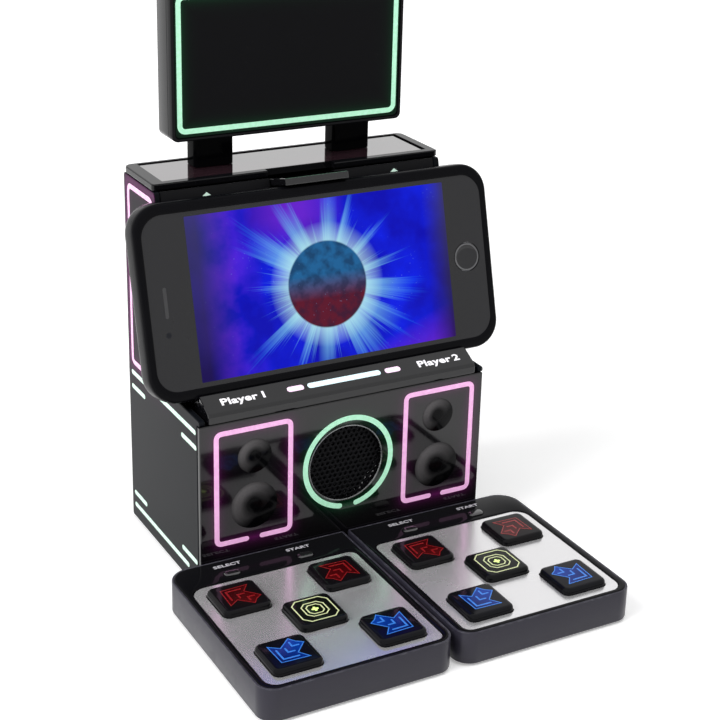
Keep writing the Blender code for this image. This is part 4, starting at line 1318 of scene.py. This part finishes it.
def top_pieces():
    """Two posts: each node's foot is its narrow tenon, and the visible post stands on the
    sheet let into the top."""
    stand = span("top_inset")[1][2] + 0.3
    for node in ("left_post", "right_post"):
        low, high = span(node)
        profile = [(3.0, low[2]), (3.0, stand), (0.0, stand), (0.0, high[2])]
        points, faces = lofted(TOP, low[:2], high[:2], (1.5,) * 4, profile, steps=8)
        new_piece(node + "_moulding", points, faces,
                  gloss_black("post gloss", colour=(0.0015, 0.0015, 0.002), gloss=0.01),
                  replaces=(node,))


# ---- screws, vents and grip ---------------------------------------------------------------
SCREW_RINGS, SCREW_SIDES = 15, 64
VENT_FOOT, VENT_STEP, VENT_HALF = 88.0, 5.4, 30.0
GRIP_RIBS, GRIP_STEP, GRIP_HALF = 4, 1.8, 9.0


def screw_head(plane, across, up, radius):
    """A pan head with a cross recess: over a polar grid the height is
    crown * (1 - (r / R)^4), less the recess where |x| or |y| is under a fifth of R."""
    r = np.linspace(1.0, 0.03, SCREW_RINGS)[:, None] * radius
    turn = np.linspace(0, 2 * math.pi, SCREW_SIDES, endpoint=False)[None, :]
    x, y = r * np.cos(turn), r * np.sin(turn)
    arm = np.clip((0.2 * radius - np.minimum(abs(x), abs(y))) / (0.06 * radius), 0, 1)
    recess = 0.34 * arm * np.clip((0.66 * radius - r) / (0.08 * radius), 0, 1)
    height = 0.42 * (1 - (r / radius) ** 4) - recess
    points = np.stack((across + x, up + y, height), -1).reshape(-1, 3)
    foot = points[:SCREW_SIDES] - (0, 0, SINK)
    rows = SCREW_RINGS + 1
    return (plane.at(np.concatenate((foot, points))),
            grid_faces(rows, SCREW_SIDES) + end_faces(rows, SCREW_SIDES))


def screws():
    """Screws: four in the back cover and four under each pad's floor."""
    steel = metal("dark screw steel", (0.16, 0.16, 0.17), 0.35)
    heads = [screw_head(BACK, across, up, 1.9) for across in (-50.5, 50.5)
             for up in (11.0, 132.5)]
    points, faces = gather(heads)
    new_piece("back_screws", points, faces, steel, sharp=CAP_CREASE)
    for pad in PAD_SIDES:
        low, high = span(pad + "_frame")
        under = Plane((0, 0, span(pad + "_floor")[0][2]), (1, 0, 0), (0, -1, 0))
        heads = [screw_head(under, across, up, 1.6)
                 for across in (low[0] + 8.0, high[0] - 8.0)
                 for up in (-low[1] - 16.0, -high[1] + 12.0)]
        points, faces = gather(heads)
        new_piece(pad + "_screws", points, faces, steel, sharp=CAP_CREASE)


def back_vents():
    """Level louvres in the back cover, a dark slot under a raised lip each: each slot is a
    dark sheet of painted shade.
    """
    slot_shades, lips = [], []
    for row in range(finishes().vent_count):
        up, lip_up = VENT_FOOT + row * VENT_STEP, VENT_FOOT + row * VENT_STEP + 1.15
        # Painted shade: a dark sheet stands in for the inside of each slot.
        slot_shades.append(raised_line(((-VENT_HALF, up), (VENT_HALF, up)), 1.8, FILL))
        lips.append(raised_line(((-VENT_HALF - 0.4, lip_up), (VENT_HALF + 0.4, lip_up)),
                                0.5, 0.30))
    lay("back_vents", BACK, slot_shades,
        plastic("vent shadow", (0.001, 0.001, 0.001), 0.8, grain=0.5, gloss=0.05))
    lay("back_vent_lips", BACK, lips, matt_black())


def door_grip():
    """Ribs for a thumb and a raised pointer on the battery door."""
    low, high = span("battery_door")
    plane = Plane((0, high[1], 0), (-1, 0, 0), (0, 0, 1))
    middle, top = -(low[0] + high[0]) / 2, high[2]
    ribs = []
    for row in range(GRIP_RIBS):
        up = top - 5.0 - row * GRIP_STEP
        ends = (middle - GRIP_HALF, up), (middle + GRIP_HALF, up)
        ribs.append(raised_line(ends, 0.7, 0.3))
    mark = np.array(((-2.2, 0.0), (0.0, -3.0), (2.2, 0.0))) + (middle, top - 13.5)
    lay("battery_door_grip", plane, ribs + [slab_of(mark, 0.2)], matt_black(), "door")


# ---- finishes of the CAD nodes ------------------------------------------------------------
def spill(x0, x1, z0, z1, corner, colour):
    """The light that spills from a rounded rectangle's line, as glowing_panel takes it."""
    return (x0 + x1) / 2, (z0 + z1) / 2, (x1 - x0) / 2, (z1 - z0) / 2, corner, 1.5, colour


def panel_finishes():
    """The panels that carry lit lines, with the spill of those lines."""
    ring = (*RING_AT, RING_R, RING_R, RING_R, 1.5, GREEN_SPILL)
    boxes = [spill(*box, BOX_CORNER, MAGENTA_SPILL) for box in (LEFT_BOX, RIGHT_BOX)]
    finish_node("front_panel", glowing_panel("front panel gloss", FRONT, (*boxes, ring),
                                             (0.004, 0.0035, 0.0045), 0.05, 0.5))
    for side, plane, toward in (("left", LEFT, -1), ("right", RIGHT, 1)):
        line = (toward * 48.5, 103.0, 17.0, 36.0, 3.0, 2.5, MAGENTA_SPILL)
        finish_node(side + "_side_panel", glowing_panel(
            side + " side gloss", plane, (line,), (0.006, 0.007, 0.009), 0.06, 0.035))


def cad_finishes():
    """Finishes of every CAD node that stays visible."""
    panel_finishes()
    finish_node("ledge", gloss_black("ledge gloss", gloss=0.5))
    finish_node("top_cap", gloss_black("cap gloss", gloss=0.22))
    finish_node("top_inset", plastic("top sheet gloss", (0.030, 0.014, 0.019), 0.10,
                                     mottle=0.12, smear=0.06, gloss=1.0, coat=0.8, ior=1.8,
                                     coat_ior=2.0))
    finish_node("clamp_jaw", gloss_black("clamp gloss", roughness=0.06, gloss=0.3, coat=0.45))
    for node in ("cradle_face", "back_cover", "battery_door", "base_plate", "battery_box",
                 "power_switch", "left_pad_floor", "right_pad_floor"):
        finish_node(node, matt_black())
    for pad in PAD_SIDES:
        finish_node(pad + "_plate", brushed_plate("satin silver plate"))
        finish_node(pad + "_foot", rubber())
        finish_node(pad + "_board", circuit_board())
        finish_node(pad + "_membrane", plastic("silicone membrane", (0.32, 0.32, 0.34), 0.6,
                                               mottle=0.1, grain=0.3))
    finish_node("rear_foot", rubber())
    finish_node("main_board", circuit_board())
    finish_node("speaker_cone", plastic("cone paper", (0.035, 0.035, 0.037), 0.75,
                                        mottle=0.3, grain=1.0))
    for node in ("speaker_frame", "clamp_spring"):
        finish_node(node, metal("bright steel", (0.56, 0.56, 0.57), 0.28))
    for index in range(1, 5):
        finish_node("battery_cell_%d" % index,
                    plastic("cell jacket", (0.14, 0.14, 0.16), 0.3, mottle=0.3))


# ---- stage --------------------------------------------------------------------------------
CAMERA_AT = (-0.2560, -0.4639, 0.3057)
CAMERA_TURN, CAMERA_DIP, CAMERA_ROLL = -0.505, 0.359, 0.025
CAMERA_LENS, CAMERA_SHIFT = 80.9, -0.0833


def add_camera():
    """Looks along (sin a cos d, cos a cos d, -sin d), rolled about that line."""
    a, d, roll = -CAMERA_TURN, CAMERA_DIP, CAMERA_ROLL
    look = Vector((math.sin(a) * math.cos(d), math.cos(a) * math.cos(d), -math.sin(d)))
    level = look.cross(Vector((0, 0, 1))).normalized()
    upright = level.cross(look)
    right = level * math.cos(roll) + upright * math.sin(roll)
    up = upright * math.cos(roll) - level * math.sin(roll)
    data = bpy.data.cameras.new("camera")
    data.lens = CAMERA_LENS
    data.shift_y = CAMERA_SHIFT
    data.clip_start = 0.01
    camera = bpy.data.objects.new("camera", data)
    turn = Matrix((right, up, -look)).transposed()
    camera.matrix_world = Matrix.Translation(CAMERA_AT) @ turn.to_4x4()
    bpy.context.scene.collection.objects.link(camera)
    bpy.context.scene.camera = camera


def soft_lamp(name, place, aim_height, size, power):
    """A square lamp that points at a height over the middle and isn't seen in reflections."""
    data = bpy.data.lights.new(name, "AREA")
    data.shape = "RECTANGLE"
    data.size = data.size_y = size
    data.energy = power
    lamp = bpy.data.objects.new(name, data)
    lamp.location = place
    aim = Vector((0, 0, aim_height)) - Vector(place)
    lamp.rotation_euler = aim.to_track_quat("-Z", "Y").to_euler()
    lamp.visible_glossy = False
    bpy.context.scene.collection.objects.link(lamp)


def add_world(level):
    """A world that lights at a level, and looks white where it is seen or reflected."""
    world = bpy.data.worlds.new("studio")
    bpy.context.scene.world = world
    world.use_nodes = True
    world.node_tree.nodes.clear()
    g = Graph(world.node_tree)
    path = g.add("LightPath").outputs
    seen = g.math("MAXIMUM", g.math("MAXIMUM", path["Is Camera Ray"], path["Is Glossy Ray"]),
                  path["Is Transmission Ray"])
    strength = g.math("ADD", level, g.math("MULTIPLY", seen, 1.0 - level))
    back = g.add("Background", Color=(1.0, 1.0, 1.0), Strength=strength)
    g.tree.links.new(back.outputs[0], g.add("OutputWorld").inputs[0])


def add_floor(lift):
    """A wide pale floor. Away from the object it turns as white as the world, so that no
    edge shows: its light grows from lift to one with the distance from the middle."""
    mesh = bpy.data.meshes.new("floor")
    mesh.from_pydata([(-6, -6, 0), (6, -6, 0), (6, 6, 0), (-6, 6, 0)], [], [(0, 1, 2, 3)])
    floor = bpy.data.objects.new("floor", mesh)
    bpy.context.scene.collection.objects.link(floor)
    g, shader = new_material("pale floor")
    path = g.add("LightPath").outputs
    place = g.place()
    colour = g.mix(g.noise(place, 3.0), (0.90, 0.90, 0.90), (0.92, 0.92, 0.92))
    seen = g.math("MAXIMUM", path["Is Camera Ray"], path["Is Glossy Ray"])
    white = g.spread(g.vector("LENGTH", place), 0.35, 1.4, lift, 1.0)
    g.feed(shader, {"Base Color": colour, "Roughness": 0.9, "Specular IOR Level": 0.0,
                    "Emission Color": (1.0, 1.0, 1.0),
                    "Emission Strength": g.math("MULTIPLY", seen, white)})
    mesh.materials.append(bpy.data.materials["pale floor"])


def add_stage(settings):
    """The view, the camera, three lamps, the world and the floor."""
    bpy.context.scene.view_settings.view_transform = "Standard"
    add_camera()
    soft_lamp("key lamp", (-1.1, -0.1, 1.0), 0.05, 0.9, settings.key_power)
    soft_lamp("top lamp", (0.2, -0.3, 1.5), 0.05, 1.2, settings.top_power)
    soft_lamp("fill lamp", (0.7, -1.2, 0.7), 0.08, 1.0, settings.fill_power)
    add_world(settings.world_level)
    add_floor(settings.floor_lift)


# ---- add-on -------------------------------------------------------------------------------
LENGTH = dict(subtype="DISTANCE", unit="LENGTH")
TINT = dict(min=0.0, max=1.0, subtype="COLOR", size=3)
LAMP = dict(min=0.0, subtype="POWER", unit="POWER")
SHARE = dict(min=0.0, max=1.0, subtype="FACTOR")


class DancePrint(bpy.types.PropertyGroup):
    """Sizes and colours of the printed lines, words and signs"""
    line_width: FloatProperty(
        name="Outline width", description="Width of the lit outlines of boxes and sign",
        default=0.0019, min=0.0005, max=0.004, **LENGTH)
    ring_width: FloatProperty(
        name="Ring width", description="Width of the ring round the loudspeaker",
        default=0.0020, min=0.0005, max=0.004, **LENGTH)
    arrow_outline: FloatProperty(
        name="Arrow outline", description="Width of the line round each arrow",
        default=0.00034, min=0.0001, max=0.001, **LENGTH)
    chevron_width: FloatProperty(
        name="Chevron width", description="Width of the chevrons inside each arrow",
        default=0.00068, min=0.0002, max=0.0015, **LENGTH)
    label_height: FloatProperty(
        name="Pad letter height", description="Height of the capitals on the pads",
        default=0.00165, min=0.001, max=0.003, **LENGTH)
    player_height: FloatProperty(
        name="Player letter height", description="Height of the words on the ledge",
        default=0.0029, min=0.001, max=0.005, **LENGTH)
    pink: FloatVectorProperty(
        name="Pink", description="Outlines on the front and the sides",
        default=linear((246, 184, 232)), **TINT)
    pale_pink: FloatVectorProperty(
        name="Pale pink", description="Short bars on the ledge",
        default=linear((248, 214, 240)), **TINT)
    mint: FloatVectorProperty(
        name="Mint", description="Ring round the loudspeaker and outline of the sign",
        default=linear((180, 240, 206)), **TINT)
    cool_white: FloatVectorProperty(
        name="Cool white", description="Long bar on the ledge",
        default=linear((214, 240, 244)), **TINT)
    stripe_white: FloatVectorProperty(
        name="Stripe white", description="Stripes on the sides and marks on the cradle",
        default=linear((206, 236, 220)), **TINT)
    label_white: FloatVectorProperty(
        name="Label white", description="Words on the pads",
        default=linear((190, 188, 194)), **TINT)
    red: FloatVectorProperty(
        name="Red", description="Lines of the red arrows",
        default=linear((130, 20, 24)), **TINT)
    blue: FloatVectorProperty(
        name="Blue", description="Lines of the blue arrows",
        default=linear((52, 122, 214)), **TINT)
    lime: FloatVectorProperty(
        name="Lime", description="Rings on the middle buttons",
        default=linear((214, 222, 168)), **TINT)
    lime_cross: FloatVectorProperty(
        name="Lime cross", description="Cross on the middle buttons",
        default=linear((226, 255, 150)), **TINT)


class DanceFinish(bpy.types.PropertyGroup):
    """Sizes and colours of the mouldings"""
    pad_rim: FloatProperty(
        name="Pad rim", description="Grey edge that shows round a pad's black bezel",
        default=0.0008, min=0.0003, max=0.0015, **LENGTH)
    grille_pitch: FloatProperty(
        name="Grille pitch", description="Distance between the grille's holes",
        default=0.00215, min=0.0015, max=0.004, **LENGTH)
    grille_hole: FloatProperty(
        name="Grille hole", description="Diameter of the grille's holes",
        default=0.00132, min=0.0005, max=0.002, **LENGTH)
    vent_count: IntProperty(
        name="Vents", description="Number of louvres in the back cover",
        default=7, min=1, max=8)
    gloss_black: FloatVectorProperty(
        name="Gloss black", description="Glossy cabinet mouldings",
        default=(0.004, 0.004, 0.005), **TINT)
    matt_black: FloatVectorProperty(
        name="Matt black", description="Back, base and inner mouldings",
        default=(0.006, 0.006, 0.007), **TINT)
    pad_grey: FloatVectorProperty(
        name="Pad grey", description="Walls of both pads",
        default=(0.028, 0.026, 0.038), **TINT)
    plate_silver: FloatVectorProperty(
        name="Plate silver", description="Satin plates under the buttons",
        default=(0.88, 0.87, 0.88), **TINT)
    case_black: FloatVectorProperty(
        name="Case black", description="Rubber case of the handset",
        default=(0.003, 0.003, 0.004), **TINT)
    rubber: FloatVectorProperty(
        name="Foot rubber", description="Feet under the pads and the cabinet",
        default=(0.022, 0.022, 0.023), **TINT)


class DanceStage(bpy.types.PropertyGroup):
    """Light on the object and its floor"""
    key_power: FloatProperty(
        name="Key lamp", description="Power of the lamp at the left",
        default=17.0, **LAMP)
    top_power: FloatProperty(
        name="Top lamp", description="Power of the overhead lamp",
        default=11.0, **LAMP)
    fill_power: FloatProperty(
        name="Fill lamp", description="Power of the front lamp",
        default=0.3, **LAMP)
    world_level: FloatProperty(
        name="World level", description="Brightness of the world on matt surfaces",
        default=0.30, **SHARE)
    floor_lift: FloatProperty(
        name="Floor lift", description="Light that the floor adds under the object",
        default=0.32, **SHARE)


class DANCE_OT_stage(bpy.types.Operator):
    """Set up the floor, the lamps, the world and the camera"""
    bl_idname = "dance.stage"
    bl_label = "Stage"

    def execute(self, context):
        add_stage(context.scene.dance_stage)
        return {"FINISHED"}


class DANCE_OT_finishes(bpy.types.Operator):
    """Give the carried-over nodes their finishes"""
    bl_idname = "dance.finishes"
    bl_label = "CAD finishes"

    def execute(self, context):
        cad_finishes()
        return {"FINISHED"}


class DANCE_OT_pads(bpy.types.Operator):
    """Build both pads' walls, floors and bezels"""
    bl_idname = "dance.pads"
    bl_label = "Pads"

    def execute(self, context):
        for pad, side in PAD_SIDES.items():
            pad_pieces(pad, side)
        return {"FINISHED"}


class DANCE_OT_labels(bpy.types.Operator):
    """Print the words on the pads"""
    bl_idname = "dance.labels"
    bl_label = "Pad labels"

    def execute(self, context):
        label_pieces()
        return {"FINISHED"}


class DANCE_OT_keys(bpy.types.Operator):
    """Build the SELECT and START keys of both pads"""
    bl_idname = "dance.keys"
    bl_label = "Select and start keys"

    def execute(self, context):
        for pad in PAD_SIDES:
            key_pieces(pad)
        return {"FINISHED"}


class DANCE_OT_arrow_buttons(bpy.types.Operator):
    """Build the eight arrow buttons with their signs"""
    bl_idname = "dance.arrow_buttons"
    bl_label = "Arrow buttons"

    def execute(self, context):
        for pad, side in PAD_SIDES.items():
            for row, back, kind in (("back", 1, "red"), ("front", -1, "blue")):
                for column, right in (("outer", side), ("inner", -side)):
                    turn = math.atan2(back, right) - math.pi / 2
                    button_piece("%s_%s_%s_button" % (pad, row, column), kind, turn)
        return {"FINISHED"}


class DANCE_OT_centre_buttons(bpy.types.Operator):
    """Build the two middle buttons with their rings and cross"""
    bl_idname = "dance.centre_buttons"
    bl_label = "Middle buttons"

    def execute(self, context):
        for pad in PAD_SIDES:
            button_piece(pad + "_centre_button", "lime", 0.0)
        return {"FINISHED"}


class DANCE_OT_front_lines(bpy.types.Operator):
    """Print the boxes and the ring on the front panel"""
    bl_idname = "dance.front_lines"
    bl_label = "Front lines"

    def execute(self, context):
        front_lines()
        return {"FINISHED"}


class DANCE_OT_front_cones(bpy.types.Operator):
    """Print the four loudspeaker cones on the front panel"""
    bl_idname = "dance.front_cones"
    bl_label = "Printed cones"

    def execute(self, context):
        front_cones()
        return {"FINISHED"}


class DANCE_OT_grille(bpy.types.Operator):
    """Build the loudspeaker's perforated sheet and rim"""
    bl_idname = "dance.grille"
    bl_label = "Grille"

    def execute(self, context):
        grille_pieces()
        return {"FINISHED"}


class DANCE_OT_ledge(bpy.types.Operator):
    """Print the players' labels and the bars on the ledge"""
    bl_idname = "dance.ledge"
    bl_label = "Ledge prints"

    def execute(self, context):
        ledge_lines()
        return {"FINISHED"}


class DANCE_OT_sides(bpy.types.Operator):
    """Print the outline and the stripes on both side panels"""
    bl_idname = "dance.sides"
    bl_label = "Side prints"

    def execute(self, context):
        side_lines()
        return {"FINISHED"}


class DANCE_OT_handset(bpy.types.Operator):
    """Build the handset's case, display, key and openings"""
    bl_idname = "dance.handset"
    bl_label = "Handset"

    def execute(self, context):
        handset_pieces()
        return {"FINISHED"}


class DANCE_OT_cradle(bpy.types.Operator):
    """Print the marks on the cradle"""
    bl_idname = "dance.cradle"
    bl_label = "Cradle marks"

    def execute(self, context):
        cradle_marks()
        return {"FINISHED"}


class DANCE_OT_sign(bpy.types.Operator):
    """Build the sign's mouldings and print its outline"""
    bl_idname = "dance.sign"
    bl_label = "Sign"

    def execute(self, context):
        sign_pieces()
        return {"FINISHED"}


class DANCE_OT_posts(bpy.types.Operator):
    """Build the two posts under the sign"""
    bl_idname = "dance.posts"
    bl_label = "Posts"

    def execute(self, context):
        top_pieces()
        return {"FINISHED"}


class DANCE_OT_vents(bpy.types.Operator):
    """Build the louvres of the back cover"""
    bl_idname = "dance.vents"
    bl_label = "Vents"

    def execute(self, context):
        back_vents()
        return {"FINISHED"}


class DANCE_OT_door_grip(bpy.types.Operator):
    """Build the battery door's ribs and pointer"""
    bl_idname = "dance.door_grip"
    bl_label = "Door grip"

    def execute(self, context):
        door_grip()
        return {"FINISHED"}


class DANCE_OT_screws(bpy.types.Operator):
    """Build the screw heads of the back cover and the pads"""
    bl_idname = "dance.screws"
    bl_label = "Screws"

    def execute(self, context):
        screws()
        return {"FINISHED"}


class DANCE_PT_sidebar(bpy.types.Panel):
    """Lists the settings and the operators that build the dance machine"""
    bl_idname = "DANCE_PT_sidebar"
    bl_label = "Dance Machine"
    bl_space_type = "VIEW_3D"
    bl_region_type = "UI"
    bl_category = "Dance Machine"

    def draw(self, context):
        for operator in OPERATORS:
            self.layout.operator(operator.bl_idname)
        for group in (context.scene.dance_print, context.scene.dance_finish,
                      context.scene.dance_stage):
            box = self.layout.box()
            for key in group.bl_rna.properties.keys():
                if key not in ("rna_type", "name"):
                    box.prop(group, key)


OPERATORS = (
    DANCE_OT_stage, DANCE_OT_finishes, DANCE_OT_pads, DANCE_OT_labels, DANCE_OT_keys,
    DANCE_OT_arrow_buttons, DANCE_OT_centre_buttons, DANCE_OT_front_lines,
    DANCE_OT_front_cones, DANCE_OT_grille, DANCE_OT_ledge, DANCE_OT_sides, DANCE_OT_handset,
    DANCE_OT_cradle, DANCE_OT_sign, DANCE_OT_posts, DANCE_OT_vents, DANCE_OT_door_grip,
    DANCE_OT_screws)
CLASSES = (DancePrint, DanceFinish, DanceStage) + OPERATORS + (DANCE_PT_sidebar,)


def register():
    """Add the classes, and their settings to the scene."""
    for cls in CLASSES:
        bpy.utils.register_class(cls)
    bpy.types.Scene.dance_print = PointerProperty(type=DancePrint)
    bpy.types.Scene.dance_finish = PointerProperty(type=DanceFinish)
    bpy.types.Scene.dance_stage = PointerProperty(type=DanceStage)


def unregister():
    """Take the settings and the classes away again."""
    del bpy.types.Scene.dance_print, bpy.types.Scene.dance_finish, bpy.types.Scene.dance_stage
    for cls in reversed(CLASSES):
        bpy.utils.unregister_class(cls)


def main():
    """Build every piece in order."""
    register()
    bpy.ops.dance.stage()
    bpy.ops.dance.finishes()
    bpy.ops.dance.pads()
    bpy.ops.dance.labels()
    bpy.ops.dance.keys()
    bpy.ops.dance.arrow_buttons()
    bpy.ops.dance.centre_buttons()
    bpy.ops.dance.front_lines()
    bpy.ops.dance.front_cones()
    bpy.ops.dance.grille()
    bpy.ops.dance.ledge()
    bpy.ops.dance.sides()
    bpy.ops.dance.handset()
    bpy.ops.dance.cradle()
    bpy.ops.dance.sign()
    bpy.ops.dance.posts()
    bpy.ops.dance.vents()
    bpy.ops.dance.door_grip()
    bpy.ops.dance.screws()


if __name__ == "__main__":
    main()
